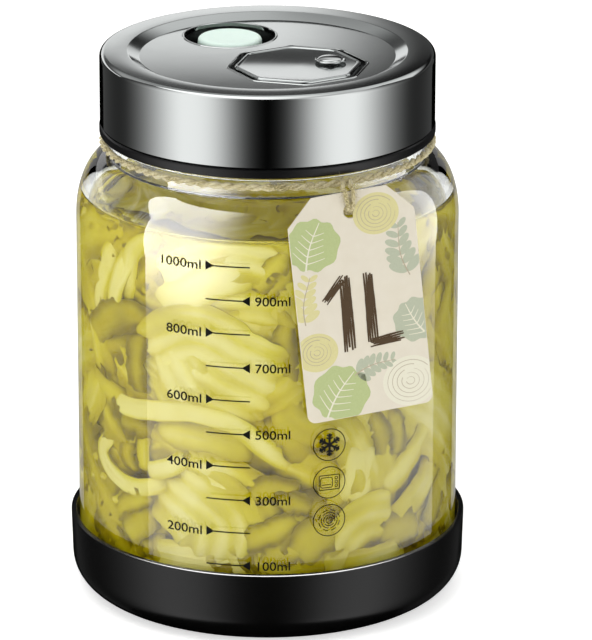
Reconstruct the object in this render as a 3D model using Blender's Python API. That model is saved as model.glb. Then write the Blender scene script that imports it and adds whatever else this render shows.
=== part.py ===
"""One-litre glass fermentation jar of pickled cabbage, with a steel screw lid, a rubber base sleeve,
a twine round its neck and a card tag.

Metres, +Z up. The origin is the centre of the underside, and the front of the jar faces -Y.
"""

import math
import random

import bmesh
import bpy
from mathutils import Matrix, Vector

MM = 0.001
GAP = 0.30 * MM  # clearance between pieces that touch
SIDES = 48  # facets round a turned piece

# Glass body
GLASS_R = 58.3 * MM
WALL = 3.2 * MM
GLASS_FOOT_Z = 3.3 * MM
HEEL_R = 8.2 * MM
FLOOR_Z = 14.6 * MM
FLOOR_FILLET = 7.0 * MM
SHOULDER_Z = 119.0 * MM
NECK_R = 48.3 * MM
NECK_Z = 137.75 * MM
NECK_WALL = 3.4 * MM
BEAD_Z = 143.9 * MM
BEAD_R = 0.55 * MM
MOUTH_Z = 163.6 * MM
BRINE_Z = 125.7 * MM

# Rubber sleeve under the jar
SLEEVE_R = 60.85 * MM
SLEEVE_Z = 23.4 * MM
SLEEVE_FLOOR = 3.0 * MM
SLEEVE_FLAT_R = 50.5 * MM
SLEEVE_FILLET = 10.0 * MM
SLEEVE_RIM = 1.7 * MM
SLEEVE_SOFT = 0.6 * MM  # rounding of its rim
SLEEVE_FLARE = 5.0 * MM  # how far below the rim it starts to stand off the glass

# Screw lid: a steel shell over a black plastic liner
LID_R = 50.8 * MM
LID_TOP = 170.0 * MM
SHELL_Z = 147.9 * MM
SHELL_T = 1.0 * MM
LID_EDGE = 1.7 * MM  # rounding of its top edge
PAN_OUTER_R = 43.1 * MM
PAN_R = 38.7 * MM
PAN_DROP = 1.75 * MM
RING_Z = 144.8 * MM
RING_R = 51.0 * MM
PLUG_Z = 159.3 * MM
THREAD_GAP = 0.35 * MM  # between the liner and the glass

# Valve in the lid
VALVE_AT = Vector((-11.5, 21.4)) * MM
VALVE_HOLE_R = 13.9 * MM
WELL_Z = 161.5 * MM
BUTTON_R = 9.8 * MM
BUTTON_FLANGE_R = 10.9 * MM
BUTTON_FLANGE_T = 2.6 * MM
BUTTON_TOP = 168.0 * MM

# Eight-sided cover plate in the lid, with its round stud
PLATE_AT = Vector((9.1, -11.1)) * MM
PLATE_TURN = math.radians(7.0)
PLATE_HOLE_R = 21.2 * MM
PLATE_R = 19.5 * MM
PLATE_T = 1.5 * MM
PLATE_BEVEL = 0.6 * MM
STUD_AT = Vector((18.8, -8.2)) * MM
STUD_R = 4.6 * MM
STUD_H = 1.3 * MM
WASHER_H = 0.4 * MM

# Twine round the neck and its loop through the tag
TWINE_R = 1.45 * MM
TWINE_RING_R = 50.15 * MM
TWINE_Z = 142.0 * MM
STRAND_R = 0.95 * MM
LOOP_SPREAD = 1.35 * MM
KNOT_R = 2.5 * MM
LOOP_AZIMUTH = math.radians(23.9)

# Card tag that hangs in front of the glass
TAG_W = 38.7 * MM
TAG_H = 70.1 * MM
TAG_T = 0.6 * MM
TAG_CORNER = Vector((7.9, 8.3)) * MM
TAG_ROUND = 2.6 * MM
TAG_HOLE_R = 2.2 * MM
TAG_HOLE_DROP = 6.0 * MM
TAG_AZIMUTH = math.radians(14.0)
TAG_TURN = math.radians(6.0)
TAG_SIDE = 13.4 * MM
TAG_MID_Z = 107.5 * MM
TAG_OFF = 58.75 * MM  # its back face, from the jar's axis

# Pickled cabbage: a core, pieces pressed against the glass, and pieces on top
CORE_R = 49.6 * MM
CORE_TOP = 117.0 * MM
ROOT_R = 44.5 * MM
WALL_ROWS = 5
PIECES_A_ROW = 7
TOP_PIECES = 9
STRIP_LENGTH = (32 * MM, 52 * MM)
STRIP_WIDTH = (14 * MM, 23 * MM)
STRIP_RISE = (2.2 * MM, 5.0 * MM)
CABBAGE_SEED = 11

COLOURS = {
    "silicone_black": ((0.012, 0.012, 0.012), 0.45, 0.0),
    "clear_glass": ((0.92, 0.95, 0.93), 0.02, 0.0),
    "cabbage": ((0.72, 0.70, 0.25), 0.45, 0.0),
    "dark_steel": ((0.36, 0.37, 0.37), 0.18, 1.0),
    "black_plastic": ((0.015, 0.015, 0.016), 0.35, 0.0),
    "pale_silicone": ((0.70, 0.83, 0.76), 0.5, 0.0),
    "jute": ((0.55, 0.50, 0.32), 0.9, 0.0),
    "card": ((0.80, 0.75, 0.68), 0.8, 0.0),
}


def material(name):
    """The named finish, made once and shared."""
    found = bpy.data.materials.get(name)
    if found is None:
        colour, roughness, metallic = COLOURS[name]
        found = bpy.data.materials.new(name)
        found.use_nodes = True
        shader = found.node_tree.nodes["Principled BSDF"]
        shader.inputs["Base Color"].default_value = (*colour, 1.0)
        shader.inputs["Roughness"].default_value = roughness
        shader.inputs["Metallic"].default_value = metallic
    return found


def add_object(name, bm, finish, sharp=math.radians(35)):
    """An object in the scene from a bmesh, smooth but for its sharp edges."""
    mesh = bpy.data.meshes.new(name)
    bm.to_mesh(mesh)
    bm.free()
    mesh.shade_smooth()
    mesh.set_sharp_from_angle(angle=sharp)
    mesh.materials.append(material(finish))
    obj = bpy.data.objects.new(name, mesh)
    bpy.context.scene.collection.objects.link(obj)
    return obj


def arc(centre_r, centre_z, reach_r, reach_z, start, end, steps):
    """Points (r, z) on an elliptic arc; the angles are in degrees from +r towards +z."""
    angles = [math.radians(start + (end - start) * i / steps) for i in range(steps + 1)]
    return [(centre_r + reach_r * math.cos(a), centre_z + reach_z * math.sin(a)) for a in angles]


def skin(bm, rings, closed):
    """Quads between rings of as many vertices each, from the first to the last or all the way round."""
    for ring, after in zip(rings, rings[1:] + rings[:1] if closed else rings[1:]):
        for k in range(len(ring)):
            bm.faces.new((ring[k - 1], ring[k], after[k], after[k - 1]))


def turned(name, profile, finish, sides=SIDES):
    """A solid turned about Z from a profile of (r, z) points that starts and ends on the axis, or
    closes on itself where it has no point there."""
    bm = bmesh.new()
    verts = [bm.verts.new((r, 0.0, z)) for r, z in profile]
    edges = [bm.edges.new(pair) for pair in zip(verts, verts[1:])]
    if profile[0][0] > 0:
        edges.append(bm.edges.new((verts[-1], verts[0])))
    bmesh.ops.spin(
        bm, geom=verts + edges, cent=(0, 0, 0), axis=(0, 0, 1), angle=math.tau, steps=sides, use_merge=True
    )
    bmesh.ops.remove_doubles(bm, verts=bm.verts, dist=0.001 * MM)
    bmesh.ops.recalc_face_normals(bm, faces=bm.faces)
    return add_object(name, bm, finish)


def prism(name, outline, low, high, finish):
    """A flat outline of (x, y) points, standing from low to high."""
    bm = bmesh.new()
    face = bm.faces.new([bm.verts.new((x, y, low)) for x, y in outline])
    raised = bmesh.ops.extrude_face_region(bm, geom=[face])["geom"]
    lifted = [v for v in raised if isinstance(v, bmesh.types.BMVert)]
    bmesh.ops.translate(bm, verts=lifted, vec=(0, 0, high - low))
    bmesh.ops.recalc_face_normals(bm, faces=bm.faces)
    return add_object(name, bm, finish)


def cut(obj, cutter):
    """Takes the cutter's shape out of an object; the cutter stays hidden."""
    cutter.hide_render = True
    cutter.display_type = "WIRE"
    boolean = obj.modifiers.new("cut_" + cutter.name, "BOOLEAN")
    boolean.operation = "DIFFERENCE"
    boolean.object = cutter


def regular_outline(sides, radius, turn, centre):
    """Corners of a regular polygon about centre, the first at angle turn."""
    angles = [turn + math.tau * i / sides for i in range(sides)]
    return [(centre.x + radius * math.cos(a), centre.y + radius * math.sin(a)) for a in angles]


def round_cutter(name, radius, centre, low, high, sides=36):
    """A hidden cylinder for a round hole."""
    return prism(name, regular_outline(sides, radius, 0.0, centre), low, high, "black_plastic")


def build_sleeve():
    """Rubber cup that the glass stands in: rounded heel, thin rim, flat foot."""
    wall_r = GLASS_R + GAP
    rim_in = SLEEVE_R - SLEEVE_RIM
    soft = SLEEVE_SOFT
    profile = [(0.0, 0.0), (SLEEVE_FLAT_R, 0.0)]
    profile += arc(SLEEVE_FLAT_R, SLEEVE_FILLET, SLEEVE_FILLET, SLEEVE_FILLET, -72, 0, 4)
    profile += arc(SLEEVE_R - soft, SLEEVE_Z - soft, soft, soft, 0, 90, 2)
    profile += [(rim_in + soft / 2, SLEEVE_Z), (rim_in, SLEEVE_Z - soft / 2), (wall_r, SLEEVE_Z - SLEEVE_FLARE)]
    profile += arc(wall_r - HEEL_R, SLEEVE_FLOOR + HEEL_R, HEEL_R, HEEL_R, 0, -90, 4)
    profile += [(0.0, SLEEVE_FLOOR)]
    return turned("base_sleeve", profile, "silicone_black")


def glass_inner_radius(z):
    """Inside radius of the glass at a height, from its floor to its neck."""
    inner_r = GLASS_R - WALL
    if z < FLOOR_Z + FLOOR_FILLET:
        down = min(FLOOR_Z + FLOOR_FILLET - z, FLOOR_FILLET)
        return inner_r - FLOOR_FILLET + math.sqrt(FLOOR_FILLET**2 - down**2)
    if z < SHOULDER_Z:
        return inner_r
    neck_r = NECK_R - NECK_WALL
    up = min((z - SHOULDER_Z) / (NECK_Z - SHOULDER_Z), 1.0)
    return neck_r + (inner_r - neck_r) * math.sqrt(1 - up**2)


def build_glass():
    """Glass jar: heavy foot, straight side, rounded shoulder, bead and open mouth."""
    inner_r = GLASS_R - WALL
    neck_in = NECK_R - NECK_WALL
    rise = NECK_Z - SHOULDER_Z
    lip = NECK_WALL / 2
    profile = [(0.0, GLASS_FOOT_Z + 1.0 * MM), (42.0 * MM, GLASS_FOOT_Z + 0.6 * MM), (47.0 * MM, GLASS_FOOT_Z)]
    profile += arc(GLASS_R - HEEL_R, GLASS_FOOT_Z + HEEL_R, HEEL_R, HEEL_R, -90, 0, 4)
    profile += arc(NECK_R, SHOULDER_Z, GLASS_R - NECK_R, rise, 0, 90, 6)
    profile += arc(NECK_R, BEAD_Z, BEAD_R, BEAD_R, -90, 90, 2)
    profile += arc(NECK_R - lip, MOUTH_Z - lip, lip, lip, 0, 180, 4)
    profile += arc(neck_in, SHOULDER_Z, inner_r - neck_in, rise, 90, 0, 5)
    profile += arc(inner_r - FLOOR_FILLET, FLOOR_Z + FLOOR_FILLET, FLOOR_FILLET, FLOOR_FILLET, 0, -90, 3)
    profile += [(0.0, FLOOR_Z)]
    return turned("glass_jar", profile, "clear_glass")


def build_lid_shell():
    """Steel shell of the lid: a cap with a sunk pan, a round hole and an eight-sided one."""
    pan_z = LID_TOP - PAN_DROP
    under = SHELL_T
    inner_edge = LID_EDGE - under
    profile = [(0.0, pan_z), (PAN_R, pan_z), (PAN_R + 0.5 * MM, pan_z + 0.3 * MM)]
    profile += [(PAN_OUTER_R - 0.6 * MM, LID_TOP - 0.25 * MM), (PAN_OUTER_R, LID_TOP)]
    profile += arc(LID_R - LID_EDGE, LID_TOP - LID_EDGE, LID_EDGE, LID_EDGE, 90, 0, 3)
    profile += [(LID_R, SHELL_Z), (LID_R - under, SHELL_Z)]
    profile += arc(LID_R - LID_EDGE, LID_TOP - LID_EDGE, inner_edge, inner_edge, 0, 90, 2)
    profile += [(PAN_OUTER_R + 0.3 * MM, LID_TOP - under), (PAN_R + 0.8 * MM, pan_z - under), (0.0, pan_z - under)]
    shell = turned("lid_shell", profile, "dark_steel")
    low, high = pan_z - 3 * under, LID_TOP + under
    cut(shell, round_cutter("valve_hole", VALVE_HOLE_R, VALVE_AT, low, high))
    corners = regular_outline(8, PLATE_HOLE_R, PLATE_TURN, PLATE_AT)
    cut(shell, prism("plate_hole", corners, low, high, "black_plastic"))
    return shell


def build_lid_liner():
    """Black plastic liner: a plug in the mouth, a skirt, and the ring that shows under the steel."""
    top_z = LID_TOP - PAN_DROP - SHELL_T - GAP
    skirt_out = LID_R - SHELL_T - GAP
    skirt_in = NECK_R + THREAD_GAP
    plug_r = NECK_R - NECK_WALL - THREAD_GAP
    round_r = 0.5 * MM
    profile = [(0.0, PLUG_Z), (plug_r, PLUG_Z), (plug_r, MOUTH_Z + GAP), (skirt_in, MOUTH_Z + GAP)]
    profile += [(skirt_in, RING_Z + round_r), (skirt_in + round_r, RING_Z)]
    profile += arc(RING_R - round_r, RING_Z + round_r, round_r, round_r, -90, 0, 2)
    profile += [(RING_R, SHELL_Z - 0.8 * MM), (LID_R - 0.2 * MM, SHELL_Z - GAP), (skirt_out, SHELL_Z - GAP)]
    profile += [(skirt_out, top_z), (0.0, top_z)]
    liner = turned("lid_liner", profile, "black_plastic")
    cut(liner, round_cutter("valve_well", VALVE_HOLE_R, VALVE_AT, WELL_Z, top_z + 2 * MM))
    return liner


def build_valve_button():
    """Pale silicone valve: a wide flange with a domed button on it."""
    foot = WELL_Z + GAP
    step = foot + BUTTON_FLANGE_T
    soft = 1.2 * MM
    profile = [(0.0, foot), (BUTTON_FLANGE_R, foot)]
    profile += arc(BUTTON_FLANGE_R - 0.8 * MM, step - 0.8 * MM, 0.8 * MM, 0.8 * MM, 0, 90, 2)
    profile += [(BUTTON_R, step)]
    profile += arc(BUTTON_R - soft, BUTTON_TOP - soft, soft, soft, 0, 90, 3)
    profile += [(BUTTON_R * 0.6, BUTTON_TOP - 0.1 * MM), (0.0, BUTTON_TOP - 0.3 * MM)]
    button = turned("valve_button", profile, "pale_silicone", 28)
    button.location = (VALVE_AT.x, VALVE_AT.y, 0.0)
    return button


def build_cover_plate():
    """Eight-sided steel plate, bevelled, that fills the hole in the shell with a dark groove round it."""
    low = LID_TOP - PAN_DROP - SHELL_T
    corners = regular_outline(8, PLATE_R, PLATE_TURN, PLATE_AT)
    plate = prism("cover_plate", corners, low, low + PLATE_T, "dark_steel")
    bevel = plate.modifiers.new("edge", "BEVEL")
    bevel.width = PLATE_BEVEL
    bevel.segments = 2
    bevel.limit_method = "ANGLE"
    bevel.angle_limit = math.radians(60)
    return plate


def build_stud():
    """Round steel stud on the plate: a thin washer with a dome."""
    low = LID_TOP - PAN_DROP - SHELL_T + PLATE_T + GAP
    dome_r = STUD_R * 0.84
    profile = [(0.0, low), (STUD_R, low), (STUD_R, low + WASHER_H * 0.6), (STUD_R - 0.2 * MM, low + WASHER_H)]
    profile += arc(0.0, low + WASHER_H, dome_r, STUD_H - WASHER_H, 0, 90, 4)
    profile[-1] = (0.0, low + STUD_H)
    stud = turned("plate_stud", profile, "dark_steel", 20)
    stud.location = (STUD_AT.x, STUD_AT.y, 0.0)
    return stud


def tag_frame():
    """Matrix of the tag: its own x along its width, y up its height and z out of its face."""
    out = Vector((math.sin(TAG_AZIMUTH), -math.cos(TAG_AZIMUTH), 0.0))
    side = Vector((math.cos(TAG_AZIMUTH), math.sin(TAG_AZIMUTH), 0.0))
    place = out * TAG_OFF + side * TAG_SIDE + Vector((0.0, 0.0, TAG_MID_Z))
    axes = Matrix((side, Vector((0.0, 0.0, 1.0)), out)).transposed().to_4x4()
    return Matrix.Translation(place) @ axes @ Matrix.Rotation(TAG_TURN, 4, "Z")


def hole_place(lift):
    """The middle of the tag's hole, lifted off the card's back face."""
    return Vector((0.0, TAG_H / 2 - TAG_HOLE_DROP, lift))


def tag_outline():
    """Corners of the card, anticlockwise: rounded at the foot and cut off at the top."""
    w, h, rnd = TAG_W / 2, TAG_H / 2, TAG_ROUND
    left = arc(-w + rnd, -h + rnd, rnd, rnd, 180, 270, 4)
    right = arc(w - rnd, -h + rnd, rnd, rnd, 270, 360, 4)
    top = [(w, h - TAG_CORNER.y), (w - TAG_CORNER.x, h), (-w + TAG_CORNER.x, h), (-w, h - TAG_CORNER.y)]
    return left + right + top


def build_tag():
    """Card tag with one punched hole near its top edge."""
    tag = prism("card_tag", tag_outline(), 0.0, TAG_T, "card")
    hole = round_cutter("tag_hole", TAG_HOLE_R, hole_place(0.0), -2 * TAG_T, 3 * TAG_T, 20)
    cut(tag, hole)
    tag.matrix_world = tag_frame()
    hole.matrix_world = tag_frame()
    return tag


def strand_route(side):
    """Route of one of the two strands of the loop: round the neck twine, out over the top of the
    card, down its face and in at its hole. side is -1 or 1, the strand's own side of the V."""
    frame = tag_frame()
    out = Vector((math.sin(LOOP_AZIMUTH), -math.cos(LOOP_AZIMUTH), 0.0))
    across = Vector((-out.y, out.x, 0.0))
    ring = out * TWINE_RING_R + across * (side * LOOP_SPREAD) + Vector((0.0, 0.0, TWINE_Z))
    up = Vector((0.0, 0.0, 1.0))
    clear = STRAND_R + 0.45 * MM
    on_face = [(0.9, 0.4, clear), (0.75, 3.0, clear), (0.5, 5.0, clear * 0.9), (0.4, 5.7, 0.0)]
    route = [ring - up * 1.2 * MM - out * 0.6 * MM, ring + up * 1.5 * MM, ring + up * 2.0 * MM + out * 1.5 * MM]
    route.append(frame @ Vector((side * LOOP_SPREAD, TAG_H / 2 + clear, -0.6 * MM)))
    for spread, drop, lift in on_face:
        route.append(frame @ Vector((side * LOOP_SPREAD * spread, TAG_H / 2 - drop * MM, TAG_T + lift)))
    route.append(frame @ (hole_place(-KNOT_R) + Vector((side * 0.3 * MM, 0.2 * MM, 0.0))))
    return route


def smoothed(points, steps):
    """Points of a Catmull-Rom curve through points, steps to a span."""
    line = [points[0], *points, points[-1]]
    found = []
    for a, b, c, d in zip(line, line[1:], line[2:], line[3:]):
        for j in range(steps):
            t = j / steps
            found.append(
                0.5 * (2 * b + (c - a) * t + (2 * a - 5 * b + 4 * c - d) * t**2 + (3 * b - a - 3 * c + d) * t**3)
            )
    return [*found, points[-1]]


def tube(name, points, radius, sides, closed):
    """A tube along points, closed on itself or with flat ends."""
    bm = bmesh.new()
    count = len(points)
    turned_by = None
    rings = []
    for i, point in enumerate(points):
        before = points[i - 1] if closed or i else point
        after = points[(i + 1) % count] if closed or i + 1 < count else point
        along = (after - before).normalized()
        guide = Vector((0.0, 0.0, 1.0)) if turned_by is None or closed else turned_by
        across = along.cross(guide).normalized()
        turned_by = across.cross(along)
        angles = [math.tau * (k + 0.3) / sides for k in range(sides)]
        rings.append([bm.verts.new(point + (across * math.cos(a) + turned_by * math.sin(a)) * radius) for a in angles])
    skin(bm, rings, closed)
    if not closed:
        bm.faces.new(rings[0])
        bm.faces.new(rings[-1])
    bmesh.ops.recalc_face_normals(bm, faces=bm.faces)
    return add_object(name, bm, "jute")


def fuse(name, pieces):
    """Joins the pieces into the first of them by one union, and removes the rest."""
    base, others = pieces[0], pieces[1:]
    group = bpy.data.collections.new(name + "_pieces")
    for piece in others:
        bpy.context.scene.collection.objects.unlink(piece)
        group.objects.link(piece)
    bpy.context.scene.collection.children.link(group)
    union = base.modifiers.new("union", "BOOLEAN")
    union.operation = "UNION"
    union.operand_type = "COLLECTION"
    union.collection = group
    union.solver = "EXACT"
    graph = bpy.context.evaluated_depsgraph_get()
    graph.update()
    joined = bpy.data.meshes.new_from_object(base.evaluated_get(graph))
    base.modifiers.clear()
    base.data = joined
    for piece in others:
        bpy.data.objects.remove(piece)
    bpy.data.collections.remove(group)
    base.name = name
    return base


def build_twine():
    """Jute twine round the neck, with the two strands that carry the tag and their knot behind it."""
    around = [math.tau * (i + 0.5) / SIDES for i in range(SIDES)]
    circle = [Vector((TWINE_RING_R * math.cos(a), TWINE_RING_R * math.sin(a), TWINE_Z)) for a in around]
    pieces = [tube("twine_ring", circle, TWINE_R, 6, True)]
    for side in (-1, 1):
        pieces.append(tube(f"strand_{side}", smoothed(strand_route(side), 2), STRAND_R, 6, False))
    bm = bmesh.new()
    bmesh.ops.create_icosphere(bm, subdivisions=2, radius=KNOT_R)
    knot = add_object("knot", bm, "jute")
    knot.location = tag_frame() @ hole_place(-KNOT_R - GAP)
    pieces.append(knot)
    return fuse("neck_twine", pieces)


def cabbage_piece(name, place, centre, heading, length, width, bend, rise, lift):
    """One strip of cabbage as a closed slab that bends along its length, with a crowned outer face.

    place(s, t, rise) puts a point of the strip in space: rise is its height over the core, or None
    for the root that is sunk in it. lift tips the crown to one side.
    """
    stations, across = 5, (-1.0, 0.0, 1.0)
    crown = (0.2 + max(-lift, 0.0), 1.0, 0.2 + max(lift, 0.0))
    bm = bmesh.new()
    rings = []
    for i in range(stations):
        share = i / (stations - 1) - 0.5
        turn = heading + bend * share
        radius = length / bend
        s = centre[0] + radius * (math.sin(turn) - math.sin(heading))
        t = centre[1] - radius * (math.cos(turn) - math.cos(heading))
        half = width / 2 * (1.0 - 0.55 * abs(2 * share) ** 3)
        fall = 1.0 - 0.75 * abs(2 * share) ** 4
        ring = []
        for k, c in zip(across, crown):
            ring.append(place(s - math.sin(turn) * half * k, t + math.cos(turn) * half * k, rise * c * fall))
        for k in (0.8, -0.8):
            ring.append(place(s - math.sin(turn) * half * k, t + math.cos(turn) * half * k, None))
        rings.append([bm.verts.new(p) for p in ring])
    skin(bm, rings, False)
    bm.faces.new(rings[0])
    bm.faces.new(rings[-1])
    bmesh.ops.recalc_face_normals(bm, faces=bm.faces)
    return add_object(name, bm, "cabbage")


def on_wall(s, t, rise):
    """A point of a piece that lies against the glass: s runs round the jar and t is its height."""
    z = min(max(t, FLOOR_Z + 1.0 * MM), BRINE_Z - 1.2 * MM)
    most = glass_inner_radius(z) - GAP
    core = min(CORE_R, most - 0.8 * MM)
    r = min(ROOT_R, most - 4.0 * MM) if rise is None else min(core + rise, most)
    angle = s / CORE_R - math.pi / 2
    return Vector((r * math.cos(angle), r * math.sin(angle), z))


def on_top(s, t, rise):
    """A point of a piece that lies on top of the heap: s and t run across it."""
    z = CORE_TOP - 3.0 * MM if rise is None else CORE_TOP + 1.0 * MM + rise
    most = glass_inner_radius(min(z + 2.0 * MM, BRINE_Z)) - 2.0 * MM
    r = math.hypot(s, t)
    scale = min(1.0, most / r) if r > 0 else 1.0
    return Vector((s * scale, t * scale, min(z, BRINE_Z - 1.0 * MM)))


def cabbage_core():
    """Lumpy body of the heap, inside the pieces that show."""
    bm = bmesh.new()
    rows, sides = 7, 24
    low = FLOOR_Z + 0.4 * MM
    rings = []
    for i in range(rows + 1):
        z = low + (CORE_TOP - low) * i / rows
        ring = []
        for k in range(sides):
            a = math.tau * k / sides
            lump = 1.1 * MM * math.sin(3 * a + 5 * i / rows) + 0.8 * MM * math.sin(5 * a - 9 * i / rows)
            r = min(CORE_R - 1.2 * MM + lump, glass_inner_radius(z) - 1.0 * MM)
            ring.append(bm.verts.new((r * math.cos(a), r * math.sin(a), z)))
        rings.append(ring)
    skin(bm, rings, False)
    bm.faces.new(rings[0])
    crest = bm.verts.new((0.0, 0.0, CORE_TOP + 2.0 * MM))
    for k in range(sides):
        bm.faces.new((rings[-1][k - 1], rings[-1][k], crest))
    bmesh.ops.recalc_face_normals(bm, faces=bm.faces)
    return add_object("core", bm, "cabbage")


def build_cabbage():
    """Heap of pickled cabbage: a core with the strips that show fused on, round it and on top."""
    draw = random.Random(CABBAGE_SEED)
    pieces = [cabbage_core()]
    row_height = (CORE_TOP - FLOOR_Z) / WALL_ROWS
    step = math.tau * CORE_R / PIECES_A_ROW
    for row in range(WALL_ROWS):
        for k in range(PIECES_A_ROW):
            s = (k + 0.5 * (row % 2) + draw.uniform(-0.2, 0.2)) * step
            t = FLOOR_Z + (row + 0.5 + draw.uniform(-0.2, 0.2)) * row_height
            pieces.append(
                cabbage_piece(
                    f"strip_{row}_{k}",
                    on_wall,
                    (s, t),
                    draw.uniform(-1.1, 1.1),
                    draw.uniform(*STRIP_LENGTH),
                    draw.uniform(*STRIP_WIDTH),
                    draw.choice((-1, 1)) * draw.uniform(0.2, 1.3),
                    draw.uniform(*STRIP_RISE),
                    draw.uniform(-0.5, 0.5),
                )
            )
    for k in range(TOP_PIECES):
        angle = math.tau * k / TOP_PIECES
        reach = (14 + 18 * (k % 2)) * MM
        pieces.append(
            cabbage_piece(
                f"top_{k}",
                on_top,
                (reach * math.cos(angle), reach * math.sin(angle)),
                draw.uniform(0, math.tau),
                draw.uniform(30, 44) * MM,
                draw.uniform(13, 20) * MM,
                draw.uniform(-1.2, 1.2),
                draw.uniform(3.0, 6.0) * MM,
                draw.uniform(-0.5, 0.5),
            )
        )
    return fuse("pickled_cabbage", pieces)


def main():
    """Clears the scene and builds the jar from its foot up."""
    for obj in list(bpy.data.objects):
        bpy.data.objects.remove(obj)
    build_sleeve()
    build_glass()
    build_cabbage()
    build_lid_liner()
    build_lid_shell()
    build_valve_button()
    build_cover_plate()
    build_stud()
    build_tag()
    build_twine()


main()
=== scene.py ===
"""Looks of a one-litre glass fermentation jar of pickled cabbage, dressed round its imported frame.

Lengths in the classes are in millimetres unless a comment says otherwise; meshes are built in metres.
The jar's front faces -Y. Azimuths are degrees round the jar from the front, positive towards +X.
"""

from __future__ import annotations

import logging
import math
import random
from dataclasses import dataclass, field
from enum import Enum
from typing import Callable, Sequence

import bmesh
import bpy
import numpy as np
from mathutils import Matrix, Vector


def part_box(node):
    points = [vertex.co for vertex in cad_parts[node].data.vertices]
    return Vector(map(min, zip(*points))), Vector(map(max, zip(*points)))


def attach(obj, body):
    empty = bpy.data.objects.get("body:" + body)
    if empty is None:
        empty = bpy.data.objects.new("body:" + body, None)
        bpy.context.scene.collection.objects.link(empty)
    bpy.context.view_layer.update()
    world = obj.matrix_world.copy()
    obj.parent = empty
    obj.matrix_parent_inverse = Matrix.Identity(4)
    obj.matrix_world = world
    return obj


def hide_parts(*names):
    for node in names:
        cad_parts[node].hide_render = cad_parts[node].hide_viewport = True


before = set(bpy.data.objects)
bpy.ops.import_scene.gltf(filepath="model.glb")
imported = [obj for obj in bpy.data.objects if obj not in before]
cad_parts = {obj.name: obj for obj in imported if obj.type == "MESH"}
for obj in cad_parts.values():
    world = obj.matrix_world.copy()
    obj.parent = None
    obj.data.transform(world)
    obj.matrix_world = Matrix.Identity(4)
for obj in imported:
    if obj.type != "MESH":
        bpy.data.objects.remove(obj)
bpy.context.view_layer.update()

MM = 0.001
LOG = logging.getLogger("jar")

Point = tuple[float, float]
Tree, Socket, Node = bpy.types.NodeTree, bpy.types.NodeSocket, bpy.types.ShaderNode
Material, Object = bpy.types.Material, bpy.types.Object
Place = Callable[[np.ndarray, np.ndarray, np.ndarray], np.ndarray]


def linear(code: str) -> tuple[float, float, float, float]:
    """Turns an sRGB hex colour such as "#E8DCCD" to linear RGBA.

    Args:
        code: the colour as # and six hex digits.

    Returns:
        Red, green, blue and an alpha of 1.
    """
    parts = [int(code[i : i + 2], 16) / 255 for i in (1, 3, 5)]
    red, green, blue = (p / 12.92 if p <= 0.04045 else ((p + 0.055) / 1.055) ** 2.4 for p in parts)
    return (red, green, blue, 1.0)


def size_of(node: str) -> tuple[np.ndarray, np.ndarray]:
    """Lowest and highest corner of a node of the frame, in millimetres."""
    low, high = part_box(node)
    return np.array(low) / MM, np.array(high) / MM


def give(item: Node, settings: dict) -> None:
    """Sets a node's inputs, by name or index, and its own properties."""
    for key, value in settings.items():
        if isinstance(key, int) or key in item.inputs:
            item.inputs[key].default_value = value
        else:
            setattr(item, key, value)


def add_node(tree: Tree, kind: str, settings: dict | None = None, links: dict | None = None):
    """Adds one node with its settings and links.

    Args:
        tree: the node tree.
        kind: the node's type without ShaderNode, such as "Math".
        settings: socket names or indices, or the node's own properties, to their values.
        links: input socket names or indices to the output sockets that feed them.

    Returns:
        The node.
    """
    item = tree.nodes.new(f"ShaderNode{kind}")
    give(item, settings or {})
    for key, source in (links or {}).items():
        tree.links.new(source, item.inputs[key])
    return item


def ramp(tree: Tree, source: Socket, stops: Sequence[tuple[float, str]]):
    """A colour ramp over hex colours, fed by source; returns its colour output."""
    item = add_node(tree, "ValToRGB", links={"Fac": source})
    elements = item.color_ramp.elements
    while len(elements) < len(stops):
        elements.new(1.0)
    for element, (place, code) in zip(elements, stops):
        element.position = place
        element.color = linear(code)
    return item.outputs["Color"]


def grain(tree: Tree, size: float, detail: float = 2.0, stretch: Sequence[float] = (1, 1, 1)):
    """Noise over the object's own coordinates.

    Args:
        tree: the node tree.
        size: the size of its grain in mm.
        detail: how many finer layers it has.
        stretch: how much longer the grain is along X, Y and Z.

    Returns:
        The noise node.
    """
    place = add_node(tree, "TexCoord")
    scale = tuple(1.0 / s for s in stretch)
    mapped = add_node(tree, "Mapping", {"Scale": scale}, {"Vector": place.outputs["Object"]})
    return add_node(
        tree,
        "TexNoise",
        {"Scale": 1.0 / (size * MM), "Detail": detail},
        {"Vector": mapped.outputs["Vector"]},
    )


def mottled(tree: Tree, code: str, cloud: Node, share: float):
    """A hex colour made uneven by a noise; share is how much. Returns the colour output."""
    mix = {"data_type": "RGBA", "blend_type": "SOFT_LIGHT", "Factor": share, 6: linear(code)}
    return add_node(tree, "Mix", mix, {7: cloud.outputs["Fac"]}).outputs[2]


@dataclass(frozen=True)
class Finish:
    """A surface finish. Its name says what the real material is and how it was made."""

    name: str
    colour: str = "#808080"
    roughness: float = 0.5

    def material(self) -> Material:
        """The finish's material, made the first time it is asked for."""
        found = bpy.data.materials.get(self.name)
        if found is None:
            found = bpy.data.materials.new(self.name)
            found.use_nodes = True
            shader = found.node_tree.nodes["Principled BSDF"]
            give(shader, {"Base Color": linear(self.colour), "Roughness": self.roughness})
            self.dress(found.node_tree, shader)
        return found

    def dress(self, tree: Tree, shader: Node) -> None:
        """Adds what is particular to this finish."""

    def bump(self, tree, shader, height: Socket, depth: float, strength: float = 1.0) -> None:
        """Raises the surface by a height socket; depth is the relief in mm."""
        bumped = add_node(tree, "Bump", {"Strength": strength, "Distance": depth * MM}, {"Height": height})
        tree.links.new(bumped.outputs["Normal"], shader.inputs["Normal"])


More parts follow.
